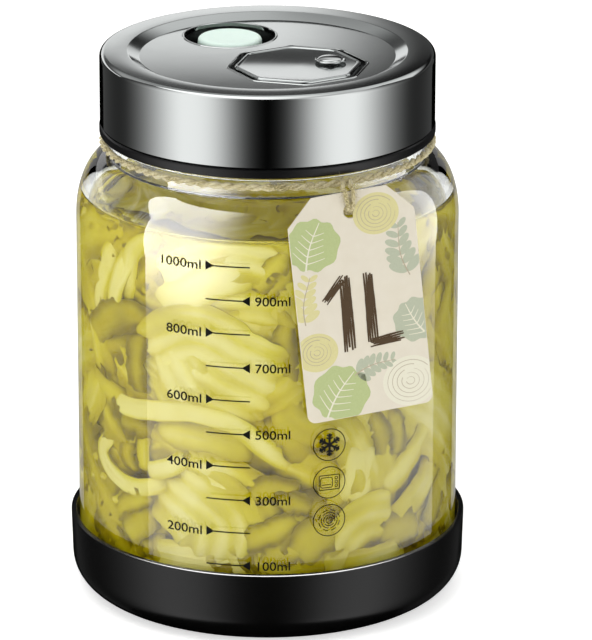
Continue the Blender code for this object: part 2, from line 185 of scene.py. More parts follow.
@dataclass(frozen=True)
class MouldedSilicone(Finish):
    """Silicone rubber from a blasted mould: a soft satin skin with a very fine grain."""

    grit: float = 0.35
    specular: float = 0.3
    glow: float = 0.0

    def dress(self, tree: Tree, shader: Node) -> None:
        """Fine mould grain, and some light inside where the rubber is pale."""
        give(shader, {"Specular IOR Level": self.specular, "IOR": 1.41})
        if self.glow:
            give(
                shader,
                {
                    "Subsurface Weight": self.glow,
                    "Subsurface Radius": (1.0, 1.0, 0.9),
                    "Subsurface Scale": 1.5 * MM,
                },
            )
        noise = grain(tree, self.grit, 3.0)
        self.bump(tree, shader, noise.outputs["Fac"], 0.02, 0.5)


@dataclass(frozen=True)
class PressedGlass(Finish):
    """Clear soda-lime glass, pressed and fire-polished: sharp reflections, a trace of green."""

    ior: float = 1.5

    def dress(self, tree: Tree, shader: Node) -> None:
        """Full transmission, with the slow waviness that pressing leaves."""
        give(shader, {"Transmission Weight": 1.0, "IOR": self.ior})
        noise = grain(tree, 16.0, 1.0, (1, 1, 2.5))
        self.bump(tree, shader, noise.outputs["Fac"], 0.12, 0.25)


@dataclass(frozen=True)
class Brine(Finish):
    """Salt water that has taken up the cabbage's yellow: clear, and deeper in colour with depth."""

    density: float = 200.0  # per metre

    def dress(self, tree: Tree, shader: Node) -> None:
        """Water's refraction, and an absorbing volume for the tint."""
        give(shader, {"Base Color": linear("#FFFFFF"), "Transmission Weight": 1.0, "IOR": 1.333})
        volume = add_node(tree, "VolumeAbsorption", {"Color": linear(self.colour), "Density": self.density})
        output = tree.nodes["Material Output"]
        tree.links.new(volume.outputs["Volume"], output.inputs["Volume"])


@dataclass(frozen=True)
class CabbageFlesh(Finish):
    """Fermented white cabbage: cream ribs that pass to wet yellow-green blades; gaps get painted brown shade.

    The fibres draw streaks along each leaf, and the brine keeps its skin wet and softly bright.
    """

    ribs: str = "#E6DE9E"
    near_rib: str = "#D2C636"
    blade: str = "#BCAC00"
    edge: str = "#847400"
    # colour of the painted shade in the gaps between pieces
    deep: str = "#5C4A04"

    def dress(self, tree: Tree, shader: Node) -> None:
        """Colour from rib to blade, fibres along the leaf, mottling, and painted brown shade where leaves lie
        behind.
        """
        leaf = add_node(tree, "Attribute", {"attribute_name": "leaf"})
        shade = add_node(tree, "Attribute", {"attribute_name": "shade"})
        fibre = add_node(tree, "Attribute", {"attribute_name": "fibre"})
        streaks = add_node(
            tree,
            "TexNoise",
            {"Scale": 1.0, "Detail": 2.0, "Roughness": 0.6},
            {"Vector": fibre.outputs["Vector"]},
        )
        place = leaf.outputs["Fac"]
        for noise, reach in ((grain(tree, 13.0, 3.0), 0.5), (streaks, 0.34)):
            spread = {"operation": "MULTIPLY_ADD", 1: reach, 2: -reach / 2}
            shifted = add_node(tree, "Math", spread, {0: noise.outputs["Fac"]})
            sources = {0: place, 1: shifted.outputs["Value"]}
            together = add_node(tree, "Math", {"operation": "ADD", "use_clamp": True}, sources)
            place = together.outputs["Value"]
        stops = ((0.0, self.ribs), (0.3, self.near_rib), (0.62, self.blade), (1.0, self.edge))
        streaked = add_node(
            tree,
            "Mix",
            {"data_type": "RGBA", "blend_type": "SOFT_LIGHT", "Factor": 0.5},
            {6: ramp(tree, place, stops), 7: streaks.outputs["Fac"]},
        )
        # painted shade: the shade attribute mixes the colour towards brown where a piece lies in a gap
        dark = add_node(
            tree,
            "Mix",
            {"data_type": "RGBA", 7: linear(self.deep)},
            {"Factor": shade.outputs["Fac"], 6: streaked.outputs[2]},
        )
        tree.links.new(dark.outputs[2], shader.inputs["Base Color"])
        give(shader, {"Specular IOR Level": 0.08})
        self.bump(tree, shader, streaks.outputs["Fac"], 0.25, 0.5)


@dataclass(frozen=True)
class PolishedSteel(Finish):
    """Stainless steel, spun and polished, under a thin dark coat: a soft mirror.

    Where brushed is over 0 the lathe's circular marks pull the reflections out from the centre.
    """

    brushed: float = 0.0

    def dress(self, tree: Tree, shader: Node) -> None:
        """Full metal, circular brushing, and a faint unevenness of the polish."""
        give(shader, {"Metallic": 1.0, "Anisotropic": self.brushed})
        if self.brushed:
            tangent = add_node(tree, "Tangent", {"direction_type": "RADIAL", "axis": "Z"})
            tree.links.new(tangent.outputs["Tangent"], shader.inputs["Tangent"])
        noise = grain(tree, 7.0, 3.0)
        uneven = add_node(
            tree,
            "MapRange",
            {"To Min": self.roughness * 0.85, "To Max": self.roughness * 1.15},
            {"Value": noise.outputs["Fac"]},
        )
        tree.links.new(uneven.outputs["Result"], shader.inputs["Roughness"])


@dataclass(frozen=True)
class MouldedPlastic(Finish):
    """Injection-moulded polypropylene: an even satin with slight flow unevenness."""

    def dress(self, tree: Tree, shader: Node) -> None:
        """Low relief from the mould."""
        noise = grain(tree, 1.2, 2.0)
        self.bump(tree, shader, noise.outputs["Fac"], 0.02, 0.4)


@dataclass(frozen=True)
class JuteFibre(Finish):
    """Twisted jute: dry bast fibres in straw and olive tones, matt and hairy."""

    pale: str = "#E2DAB8"
    straw: str = "#CDBF8E"
    olive: str = "#756C40"

    def dress(self, tree: Tree, shader: Node) -> None:
        """Fibres of several tones in a fine grain, with relief between them."""
        fine = grain(tree, 0.45, 3.0)
        broad = grain(tree, 6.0, 1.0)
        mixed = add_node(
            tree,
            "Math",
            {"operation": "MULTIPLY_ADD", 1: 0.45},
            {0: broad.outputs["Fac"], 2: fine.outputs["Fac"]},
        )
        tones = ((0.5, self.olive), (0.66, self.straw), (0.85, self.pale))
        tree.links.new(ramp(tree, mixed.outputs["Value"], tones), shader.inputs["Base Color"])
        give(shader, {"Sheen Weight": 0.25, "Specular IOR Level": 0.2})
        self.bump(tree, shader, fine.outputs["Fac"], 0.15, 0.8)


@dataclass(frozen=True)
class UncoatedCard(Finish):
    """Uncoated pulp board: matt, with faint fibres and a cloudy tone."""

    def dress(self, tree: Tree, shader: Node) -> None:
        """Pulp clouds in the colour and fibres in the relief."""
        clouds = mottled(tree, self.colour, grain(tree, 5.0, 4.0), 0.2)
        tree.links.new(clouds, shader.inputs["Base Color"])
        give(shader, {"Specular IOR Level": 0.2})
        fibres = grain(tree, 0.4, 3.0, (1, 1, 3))
        self.bump(tree, shader, fibres.outputs["Fac"], 0.03, 0.6)


@dataclass(frozen=True)
class PrintedInk(Finish):
    """Screen-printed ink: an even flat film, slightly broken by the mesh it was pressed through."""

    def dress(self, tree: Tree, shader: Node) -> None:
        """A faint unevenness of the film."""
        film = mottled(tree, self.colour, grain(tree, 0.5, 2.0), 0.15)
        tree.links.new(film, shader.inputs["Base Color"])
        give(shader, {"Specular IOR Level": 0.2})


BLACK_SILICONE = MouldedSilicone("black_silicone_moulded", "#030303", 0.21, specular=0.5)
PALE_SILICONE = MouldedSilicone("pale_silicone_moulded", "#DFF1E7", 0.5, specular=0.4, glow=0.2)
JAR_GLASS = PressedGlass("soda_lime_glass_pressed", "#FCFEFD", 0.0)
JAR_BRINE = Brine("cabbage_brine", "#FEF982", 0.0, density=200.0)
CABBAGE = CabbageFlesh("white_cabbage_fermented", roughness=0.32)
STEEL_SIDE = PolishedSteel("stainless_steel_polished", "#CBCECD", 0.075)
STEEL_TOP = PolishedSteel("stainless_steel_spun", "#BBBFBE", 0.1, brushed=0.4)
BLACK_PLASTIC = MouldedPlastic("polypropylene_moulded_black", "#0B0B0C", 0.3)
JUTE = JuteFibre("jute_twisted", roughness=0.9)
CARD = UncoatedCard("pulp_card_uncoated", "#E3DBC9", 0.85)
BLACK_INK = PrintedInk("glass_ink_screen_printed", "#080808", 0.45)


def polyline_arc(centre: Point, reach: float | Point, start: float, end: float, steps: int) -> list[Point]:
    """Points on a round or an elliptic arc.

    Args:
        centre: its centre (r, z).
        reach: its radius, or its two half-axes.
        start: first angle in degrees, from +r towards +z.
        end: last angle in degrees.
        steps: how many spans.

    Returns:
        steps + 1 points (r, z).
    """
    wide, high = reach if isinstance(reach, tuple) else (reach, reach)
    angles = [math.radians(start + (end - start) * i / steps) for i in range(steps + 1)]
    return [(centre[0] + wide * math.cos(a), centre[1] + high * math.sin(a)) for a in angles]


@dataclass
class Piece:
    """A mesh under construction: points in millimetres, faces, and values at the points."""

    points: list = field(default_factory=list)
    faces: list = field(default_factory=list)
    values: dict = field(default_factory=dict)

    def add(self, points: np.ndarray, faces: Sequence[Sequence[int]], **values: np.ndarray) -> None:
        """Adds another closed shape to the mesh."""
        start = len(self.points)
        self.points.extend(np.asarray(points).tolist())
        self.faces.extend([[i + start for i in f] for f in faces])
        for name, numbers in values.items():
            self.values.setdefault(name, []).extend(np.asarray(numbers).tolist())

    def build(self, name: str, finish: Finish, slot: str, nodes: Sequence[str] = (), sharp: float = 30.0):
        """Makes the object, dresses it and ties it to the frame.

        Args:
            name: the piece's name.
            finish: its finish.
            slot: the record's material slot; not used.
            nodes: the nodes of the frame that it stands for.
            sharp: the angle in degrees from which an edge is sharp.

        Returns:
            The object.
        """
        mesh = bpy.data.meshes.new(name)
        mesh.from_pydata((np.array(self.points) * MM).tolist(), [], self.faces)
        for key, numbers in self.values.items():
            table = np.array(numbers, dtype=np.float32)
            kind, part = ("FLOAT_VECTOR", "vector") if table.ndim == 2 else ("FLOAT", "value")
            mesh.attributes.new(key, kind, "POINT").data.foreach_set(part, table.ravel())
        return settle(name, mesh, finish, nodes, sharp)


def put(name: str, data: bpy.types.ID) -> Object:
    """Puts an object with the given data into the scene."""
    obj = bpy.data.objects.new(name, data)
    bpy.context.scene.collection.objects.link(obj)
    return obj


def settle(name: str, mesh: bpy.types.Mesh, finish: Finish, nodes: Sequence[str], sharp: float):
    """Links a finished mesh as a piece of the jar; see Piece.build for the arguments."""
    mesh.validate()
    mesh.shade_smooth()
    mesh.set_sharp_from_angle(angle=math.radians(sharp))
    mesh.materials.append(finish.material())
    obj = put(name, mesh)
    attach(obj, "root")
    if nodes:
        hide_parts(*nodes)
    LOG.info("%s: %d faces", name, len(mesh.polygons))
    return obj


def bridge(mesh: bmesh.types.BMesh, rings: Sequence[list]) -> None:
    """Joins each ring of vertices to the next."""
    for low, high in zip(rings, rings[1:]):
        for i in range(len(low)):
            mesh.faces.new((low[i - 1], low[i], high[i], high[i - 1]))


def fill(mesh: bmesh.types.BMesh, loops: Sequence[list]) -> None:
    """Fills the flat between an outer loop of vertices and the loops of its holes."""
    edges = [mesh.edges.get((loop[i - 1], loop[i])) for loop in loops for i in range(len(loop))]
    bmesh.ops.triangle_fill(mesh, edges=edges, use_beauty=True)


def baked(mesh: bmesh.types.BMesh, name: str) -> bpy.types.Mesh:
    """Turns the faces of a closed working mesh outwards and makes mesh data of it."""
    bmesh.ops.recalc_face_normals(mesh, faces=mesh.faces)
    data = bpy.data.meshes.new(name)
    mesh.to_mesh(data)
    mesh.free()
    return data


def skin(rings: int, around: int, closed: bool = False) -> list:
    """Faces of a row of rings of points, closed on itself or capped at both ends."""
    faces = []
    for i in range(rings if closed else rings - 1):
        low, high = i * around, (i + 1) % rings * around
        for k in range(around):
            m = (k + 1) % around
            faces.append([low + k, low + m, high + m, high + k])
    if not closed:
        faces.append(list(range(around))[::-1])
        faces.append(list(range((rings - 1) * around, rings * around)))
    return faces


def slab(rows: int, columns: int) -> list:
    """Faces of a thin sheet of rows by columns: its front, its back and the rim between them."""
    size = (rows + 1) * (columns + 1)
    index = np.arange(size).reshape(rows + 1, columns + 1)
    corners = [index[:-1, :-1], index[1:, :-1], index[1:, 1:], index[:-1, 1:]]
    quads = np.stack(corners, -1).reshape(-1, 4)
    faces = [*quads[:, ::-1].tolist(), *(quads + size).tolist()]
    border = [*index[0, :-1], *index[:-1, -1], *index[-1, :0:-1], *index[:0:-1, 0]]
    for i, j in zip(border, border[1:] + border[:1]):
        faces.append([int(i), int(j), int(j) + size, int(i) + size])
    return faces


def lathe(profile: Sequence[Point], segments: int, centre: Point = (0.0, 0.0)) -> tuple[np.ndarray, list]:
    """Turns a profile round a vertical axis.

    Args:
        profile: points (r, z); one on the axis becomes a pole. From the foot's middle outwards, up
            and back in, the faces point out.
        segments: facets round.
        centre: where the axis stands.

    Returns:
        Points and faces.
    """
    angles = np.arange(segments) * math.tau / segments
    points: list = []
    rings: list = []
    for r, z in profile:
        start = len(points)
        if r < 1e-6:
            points.append((centre[0], centre[1], z))
            rings.append([start] * segments)
        else:
            points += [(centre[0] + r * math.cos(a), centre[1] + r * math.sin(a), z) for a in angles]
            rings.append(list(range(start, start + segments)))
    faces = []
    for low, high in zip(rings, rings[1:] + (rings[:1] if profile[0][0] > 1e-6 else [])):
        for i in range(segments):
            j = (i + 1) % segments
            corners = [low[i], low[j], high[j], high[i]]
            face = [c for k, c in enumerate(corners) if c != corners[k - 1]]
            if len(face) > 2:
                faces.append(face)
    return np.array(points), faces


def turned(profile: Sequence[Point], segments: int, centre: Point = (0.0, 0.0)) -> Piece:
    """A piece turned from a profile; see lathe."""
    piece = Piece()
    piece.add(*lathe(profile, segments, centre))
    return piece


def ways(line: np.ndarray, closed: bool = False) -> np.ndarray:
    """Unit ways along a line, one at each of its points."""
    ahead = np.roll(line, -1, 0) - np.roll(line, 1, 0) if closed else np.gradient(line, axis=0)
    return ahead / np.maximum(np.linalg.norm(ahead, axis=1, keepdims=True), 1e-9)


def tube(route: np.ndarray, radius: np.ndarray | float, sides: int, closed: bool) -> tuple[np.ndarray, list]:
    """A round tube along a route, with frames that don't twist.

    Args:
        route: points (n, 3).
        radius: one radius or one a point.
        sides: facets round.
        closed: whether the route closes on itself.

    Returns:
        Points and faces.
    """
    count = len(route)
    along = ways(route, closed)
    across = np.zeros_like(route)
    guide = np.array([0.0, 0.0, 1.0]) if abs(along[0, 2]) < 0.9 else np.array([1.0, 0.0, 0.0])
    for i in range(count):
        side = guide - along[i] * guide.dot(along[i])
        across[i] = guide = side / np.linalg.norm(side)
    up = np.cross(along, across)
    radii = np.broadcast_to(np.asarray(radius, float), (count,))[:, None]
    angles = np.arange(sides) * math.tau / sides
    rings = [route + radii * (across * math.cos(a) + up * math.sin(a)) for a in angles]
    return np.stack(rings, 1).reshape(-1, 3), skin(count, sides, closed)


def curve_through(points: Sequence[Sequence[float]], steps: int) -> np.ndarray:
    """A Catmull-Rom curve through points, with steps points to a span."""
    line = np.array([points[0], *points, points[-1]], float)
    t = np.linspace(0, 1, steps, endpoint=False)[:, None]
    spans = []
    for a, b, c, d in zip(line, line[1:], line[2:], line[3:]):
        square, cube = 2 * a - 5 * b + 4 * c - d, 3 * b - a - 3 * c + d
        spans.append(0.5 * (2 * b + (c - a) * t + square * t**2 + cube * t**3))
    return np.vstack([*spans, line[-1:]])


def heading(turn: float) -> tuple[np.ndarray, np.ndarray]:
    """The way of an angle in degrees on a sheet, and the way to its left."""
    a = math.radians(turn)
    return np.array([math.cos(a), math.sin(a)]), np.array([-math.sin(a), math.cos(a)])


@dataclass
class GlassBody:
    """Clear glass of the jar: heavy foot, straight side, rounded shoulder, bead and mouth."""

    outer: float = float(size_of("glass_jar")[1][0])
    foot: float = float(size_of("glass_jar")[0][2])
    mouth: float = float(size_of("glass_jar")[1][2])
    wall: float = 3.2
    heel: float = 8.2
    floor: float = 14.6
    floor_fillet: float = 7.0
    shoulder: float = 119.0
    neck_height: float = 137.75
    neck: float = 48.3
    neck_wall: float = 3.4
    bead_height: float = 143.9
    bead: float = 0.55
    brine_level: float = 125.7
    meniscus: float = 1.1
    film: float = 0.45  # how far the brine's mesh runs into the glass
    creep: float = 0.35  # radial step of the meniscus
    punt: tuple[Point, ...] = ((0.0, 1.0), (42.0, 0.6), (44.5, 0.25), (47.0, 0.0))  # radius, rise
    segments: int = 192

    @property
    def inner(self) -> float:
        """Inside radius of the straight side."""
        return self.outer - self.wall

    def inner_at(self, z: np.ndarray) -> np.ndarray:
        """Inside radius of the glass at heights z, from its floor to its neck."""
        fillet = self.floor_fillet
        down = np.clip(self.floor + fillet - z, 0, fillet)
        low = self.inner - fillet + np.sqrt(np.maximum(fillet**2 - down**2, 0))
        up = np.clip((z - self.shoulder) / (self.neck_height - self.shoulder), 0, 1)
        neck = self.neck - self.neck_wall
        high = neck + (self.inner - neck) * np.sqrt(1 - up**2)
        return np.where(z < self.shoulder, low, high)

    def outer_profile(self) -> list[Point]:
        """Outside of the glass from the middle of its foot up to the lip."""
        lip = self.neck_wall / 2
        rise = self.neck_height - self.shoulder
        heel = self.heel
        profile = [(r, self.foot + up) for r, up in self.punt]
        profile += polyline_arc((self.outer - heel, self.foot + heel), heel, -90, 0, 12)
        profile += polyline_arc((self.neck, self.shoulder), (self.outer - self.neck, rise), 0, 90, 28)
        profile += polyline_arc((self.neck, self.bead_height), self.bead, -90, 90, 8)
        profile += polyline_arc((self.neck - lip, self.mouth - lip), lip, 0, 180, 12)
        return profile

    def inner_profile(self) -> list[Point]:
        """Inside of the glass from the lip down to the middle of its floor."""
        neck = self.neck - self.neck_wall
        rise = self.neck_height - self.shoulder
        fillet = self.floor_fillet
        profile = polyline_arc((neck, self.shoulder), (self.inner - neck, rise), 90, 0, 24)
        profile += polyline_arc((self.inner - fillet, self.floor + fillet), fillet, 0, -90, 10)
        return [*profile, (0.0, self.floor)]

    def build(self) -> None:
        """Makes the glass and the brine in it."""
        glass = turned(self.outer_profile() + self.inner_profile(), self.segments)
        body = glass.build("glass_body", JAR_GLASS, "clear_glass", ["glass_jar"], 50)
        brine = turned(self.brine_profile(), self.segments)
        liquid = brine.build("brine", JAR_BRINE, "clear_glass", sharp=60)
        for clear in (body, liquid):
            clear.visible_shadow = False  # clear pieces let the lamps through to the cabbage

    def brine_profile(self) -> list[Point]:
        """Brine up to its level, just into the glass all round, with its edge drawn up the wall."""
        into, fillet = self.film, self.floor_fillet
        reach = fillet + into
        profile: list[Point] = [(0.0, self.floor - into)]
        centre = (self.inner - fillet, self.floor + fillet)
        profile += polyline_arc(centre, reach, -90, 0, 10)
        top = self.brine_level + self.meniscus
        for z in np.linspace(self.shoulder, top, 6):
            profile.append((float(self.inner_at(np.array(z))) + into, float(z)))
        edge = profile[-1][0] - into
        for i in range(1, 9):
            drop = self.meniscus * (1 - math.exp(-i * 0.6))
            profile.append((edge - i * self.creep, top - drop))
        return [*profile, (edge - 8.0, self.brine_level), (0.0, self.brine_level)]


@dataclass(frozen=True)
class Leaf:
    """One piece of cabbage, laid against the glass or on top of the heap.

    route is the way its middle runs, as (azimuth, height) points, or (x, y) on top. depth is how far
    it lies behind the glass, rib the thickness of its rib, blade the share of it that is thin leaf,
    tone its step from cream to olive, fade how far the tone shifts on its way and shade how much
    painted shade darkens it.
    """

    route: tuple[Point, ...]
    width: float
    depth: float
    rib: float
    blade: float
    tone: float
    fade: float = 0.0
    shade: float = 0.0
    grain: float = 1.25  # spacing of its points


class Kind(Enum):
    """What a piece of cabbage mostly is, by how much of it is thin leaf."""

    RIB = "cabbage_ribs"
    LEAF = "cabbage_leaves"
    FRILL = "cabbage_frills"

    @classmethod
    def of(cls, leaf: Leaf) -> "Kind":
        """The kind of a piece."""
        return cls.RIB if leaf.blade < 0.3 else cls.LEAF if leaf.blade < 0.75 else cls.FRILL


# Pieces that show at the front. The points of a route were read and turned into whole degrees
# and millimetres; after it come width, depth, rib, blade, tone and, where it has one, fade.
FRONT_LEAVES = (
    Leaf(((-78, 125), (-75, 116), (-72, 104)), 9, 1.2, 3, 0.25, 0.25),
    Leaf(((-65, 125), (-66, 116), (-69, 102)), 10, 2.2, 3, 0.4, 0.45, 0.1),
    Leaf(((-56, 119), (-62, 105), (-65, 92)), 7.5, 0.4, 4.6, 0, -0.02, 0.05),
    Leaf(((-46, 119), (-53, 108), (-56, 96)), 7, 0.5, 4.4, 0, 0.02, 0.1),
    Leaf(((-38, 125), (-46, 118), (-49, 107), (-51, 98)), 6.5, 1, 4, 0.05, 0.08, 0.12),
    Leaf(((-42, 116), (-45, 106)), 8, 2.4, 1, 0.95, 0.62),
    Leaf(((-40, 109), (-43, 100)), 10, 2.8, 2, 0.6, 0.42, 0.1),
    Leaf(((-74, 84), (-60, 93), (-49, 98), (-38, 97)), 11, 0.6, 2.4, 0.5, 0.62, 0.12),
    Leaf(((-64, 82), (-52, 88), (-42, 91)), 13, 1.6, 2, 0.6, 0.82),
    Leaf(((-43, 93), (-45, 84), (-44, 74)), 8.5, 0.3, 1.2, 0.9, 0.62, 0.08),
    Leaf(((-72, 75), (-65, 72), (-49, 70)), 8, 1.2, 3, 0.3, 0.36),
    Leaf(((-56, 78), (-48, 74), (-38, 74)), 8, 1.8, 2.5, 0.4, 0.5),
    Leaf(((-38, 110), (-26, 119), (-10, 123), (7, 120)), 17, 0.9, 5, 0.1, 0.06, 0.14),
    Leaf(((-37, 101), (-24, 110), (-12, 116), (-2, 119)), 12, 0.3, 5.5, 0.05, 0, 0.12),
    Leaf(((-19, 124), (-8, 124), (7, 126)), 10, 2.6, 2, 0.6, 0.45),
    Leaf(((-5, 110), (0, 116), (6, 123)), 7, 0.4, 1.4, 0.8, 0.42, 0.1),
    Leaf(((-2, 109), (4, 115), (8, 120)), 6, 0.8, 1.4, 0.85, 0.6),
    Leaf(((-7, 114), (-3, 120), (1, 125)), 6, 1, 1.4, 0.8, 0.5),
    Leaf(((-36, 96), (-22, 104), (-7, 107), (8, 105)), 17, 1.8, 4, 0.15, 0.2, 0.14),
    Leaf(((-16, 99), (-5, 101), (7, 97)), 9, 1.2, 3.4, 0.2, 0.14, 0.05),
    Leaf(((6, 102), (5, 91), (7, 80)), 8, 1.4, 1.6, 0.7, 0.58),
    Leaf(((-39, 82), (-24, 91), (-11, 85), (1, 78)), 31, 0.5, 8, 0, 0.08, 0.1),
    Leaf(((-34, 91), (-28, 81), (-24, 76)), 22, 1.4, 5, 0.1, 0.12),
    Leaf(((-16, 94), (-7, 92), (5, 86)), 16, 3.4, 3, 0.3, 0.32, 0.1),
    Leaf(
        ((-61, 71), (-49, 69), (-38, 70), (-24, 72), (-10, 69), (-2, 63), (10, 54)),
        6.4, 0.25, 5.2, 0, -0.05, 0.5,
    ),
    Leaf(((-39, 63), (-24, 64), (-12, 62), (-4, 59)), 9.5, 1, 4, 0.12, 0.3, 0.12),
    Leaf(((4, 74), (10, 68), (19, 65)), 14, 1.6, 3, 0.3, 0.4, 0.1),
    Leaf(((-2, 68), (7, 65), (14, 57)), 10, 1.3, 2, 0.6, 0.55),
    Leaf(((-53, 64), (-46, 64), (-39, 62)), 12, 1.4, 1.6, 0.7, 0.78),
    Leaf(((-70, 62), (-66, 56), (-68, 46)), 9, 2, 2.4, 0.5, 0.6, 0.05),
    Leaf(((-56, 59), (-62, 52), (-59, 47), (-50, 44), (-40, 45), (-31, 49)), 5.6, 0.15, 4.8, 0, -0.06, 0.05),
    Leaf(((-48, 59), (-49, 53), (-45, 49)), 8, 1.6, 1.6, 0.7, 0.72, -0.1),
    Leaf(((-42, 61), (-42, 54), (-41, 49)), 5, 0.9, 2.6, 0.2, 0.34),
    Leaf(((-42, 50), (-32, 53), (-25, 59)), 6, 0.7, 3.6, 0.05, 0.05, 0.1),
    Leaf(((-31, 56), (-19, 55), (-6, 53)), 9, 1.8, 3, 0.3, 0.34, 0.1),
    Leaf(((-33, 49), (-24, 44), (-16, 36), (-19, 25)), 29, 0.4, 8, 0, 0.16, 0.05),
    Leaf(((-24, 51), (-13, 50), (-2, 42)), 18, 1, 5, 0.1, 0.22, 0.1),
    Leaf(((-39, 23), (-24, 24), (-9, 27)), 13, 0.8, 5, 0.05, 0.02, 0.05),
    Leaf(((-13, 22), (-7, 28), (-2, 30)), 12, 0.7, 4, 0.1, 0.1, 0.1),
    Leaf(((-39, 31), (-37, 26), (-35, 20)), 8, 1.8, 2.6, 0.3, 0.5, 0.1),
    Leaf(((-68, 36), (-65, 32), (-58, 28)), 7.5, 0.3, 1.2, 1, 0.56, 0.05),
    Leaf(((-57, 32), (-48, 38), (-40, 42)), 7, 0.5, 1.4, 0.8, 0.5),
    Leaf(((-50, 27), (-45, 32), (-39, 37)), 11, 0.5, 2.4, 0.5, 0.52, 0.05),
    Leaf(((-62, 26), (-56, 24), (-48, 22)), 9, 0.6, 1.6, 0.8, 0.58, 0.05),
    Leaf(((-50, 20), (-43, 24), (-39, 29)), 8, 1, 1.6, 0.8, 0.62),
    Leaf(((-80, 39), (-74, 31), (-70, 23)), 9, 1, 2, 0.6, 0.62, 0.1),
    Leaf(((-6, 46), (1, 49), (10, 47)), 9, 0.6, 1.6, 0.75, 0.55, 0.05),
    Leaf(((1, 44), (7, 45), (14, 42)), 8, 1, 1.4, 0.85, 0.6, 0.05),
    Leaf(((-8, 30), (0, 35), (9, 40)), 8.5, 0.4, 1.6, 0.8, 0.56, -0.05),
    Leaf(((-5, 26), (3, 31), (10, 36)), 8, 1.2, 1.4, 0.85, 0.62),
    Leaf(((-3, 24), (4, 28), (13, 28)), 9, 0.6, 1.6, 0.75, 0.5, 0.05),
    Leaf(((9, 27), (14, 32), (21, 35)), 13, 0.6, 2.4, 0.55, 0.48, 0.05),
    Leaf(((4, 22), (10, 24), (19, 25)), 10, 1, 2, 0.6, 0.5, 0.05),
    Leaf(((10, 45), (15, 41), (19, 37)), 10, 1.4, 1.8, 0.7, 0.55),
    Leaf(((27, 42), (30, 50), (32, 60)), 14.5, 0.3, 7, 0, 0, 0.1),
    Leaf(((19, 57), (21, 47), (24, 41)), 9, 1.4, 3, 0.3, 0.34, 0.05),
    Leaf(((22, 68), (26, 65), (34, 62)), 12, 1.6, 3, 0.35, 0.3, 0.1),
    Leaf(((35, 70), (38, 63), (40, 54)), 7, 0.4, 1.4, 0.9, 0.5, 0.1),
    Leaf(((41, 69), (45, 62), (44, 54)), 7, 0.7, 1.4, 0.9, 0.56, 0.1),
    Leaf(((38, 44), (47, 49), (57, 58), (60, 66)), 9, 0.8, 4, 0.1, 0.2, 0.1),
    Leaf(((42, 31), (49, 35), (60, 42), (65, 50)), 12, 1.6, 4, 0.15, 0.26, 0.1),
    Leaf(((24, 26), (27, 32), (34, 36), (42, 36)), 17, 0.8, 6, 0.05, 0.14, 0.1),
    Leaf(((38, 26), (45, 30), (56, 30)), 12, 1, 1.8, 0.8, 0.5, 0.05),
    Leaf(((23, 21), (34, 21), (50, 23)), 12, 0.9, 4, 0.2, 0.24, 0.1),
    Leaf(((60, 28), (65, 34), (73, 42)), 10, 0.8, 3, 0.35, 0.5, 0.1),
    Leaf(((73, 25), (78, 32), (80, 38)), 8, 1.6, 2, 0.6, 0.7, 0.1),
    Leaf(((68, 56), (74, 64), (79, 76)), 12, 1.2, 3, 0.4, 0.5, 0.1),
    Leaf(((66, 86), (73, 93), (78, 103)), 12, 1, 3, 0.3, 0.38, 0.1),
    Leaf(((60, 100), (65, 111), (66, 122)), 12, 1.8, 3, 0.5, 0.58, 0.1),
    Leaf(((72, 109), (77, 115), (80, 122)), 9, 1, 2, 0.5, 0.5, 0.1),
)


@dataclass
class Crowd:
    """How near the glass the heap comes at each spot of the wall; it sets the painted shade in the gaps."""

    around: float
    cell: float = 1.6
    height: float = 132.0
    far: float = 7.0
    passes: int = 3
    slack: float = 0.3
    fall: float = 1.8
    table: np.ndarray | None = None

    @property
    def shape(self) -> tuple[int, int]:
        """Columns of cells round the jar and rows up it."""
        return math.ceil(self.around / self.cell), math.ceil(self.height / self.cell)

    def cells(self, spots: np.ndarray) -> tuple[np.ndarray, np.ndarray]:
        """Column and row of each (s, t, depth)."""
        columns, rows = self.shape
        column = np.floor(spots[:, 0] / self.cell).astype(int) % columns
        return column, np.clip((spots[:, 1] / self.cell).astype(int), 0, rows - 1)

    def lay(self, spots: np.ndarray) -> None:
        """Takes a piece into account."""
        if self.table is None:
            self.table = np.full(self.shape, self.far)
        np.minimum.at(self.table, self.cells(spots), spots[:, 2])

    def soften(self) -> None:
        """Averages over the cells about each spot."""
        for _ in range(self.passes):
            self.table = sum(np.roll(self.table, k, 0) for k in (-1, 0, 1)) / 3
            edged = np.pad(self.table, ((0, 0), (1, 1)), "edge")
            self.table = (edged[:, :-2] + edged[:, 1:-1] + edged[:, 2:]) / 3

    def behind(self, spots: np.ndarray) -> np.ndarray:
        """How far into a gap each spot lies, from 0 to 1, which sets the painted shade there."""
        off = spots[:, 2] - self.table[self.cells(spots)] - self.slack
        return 1 - np.exp(-np.maximum(off, 0) / self.fall)


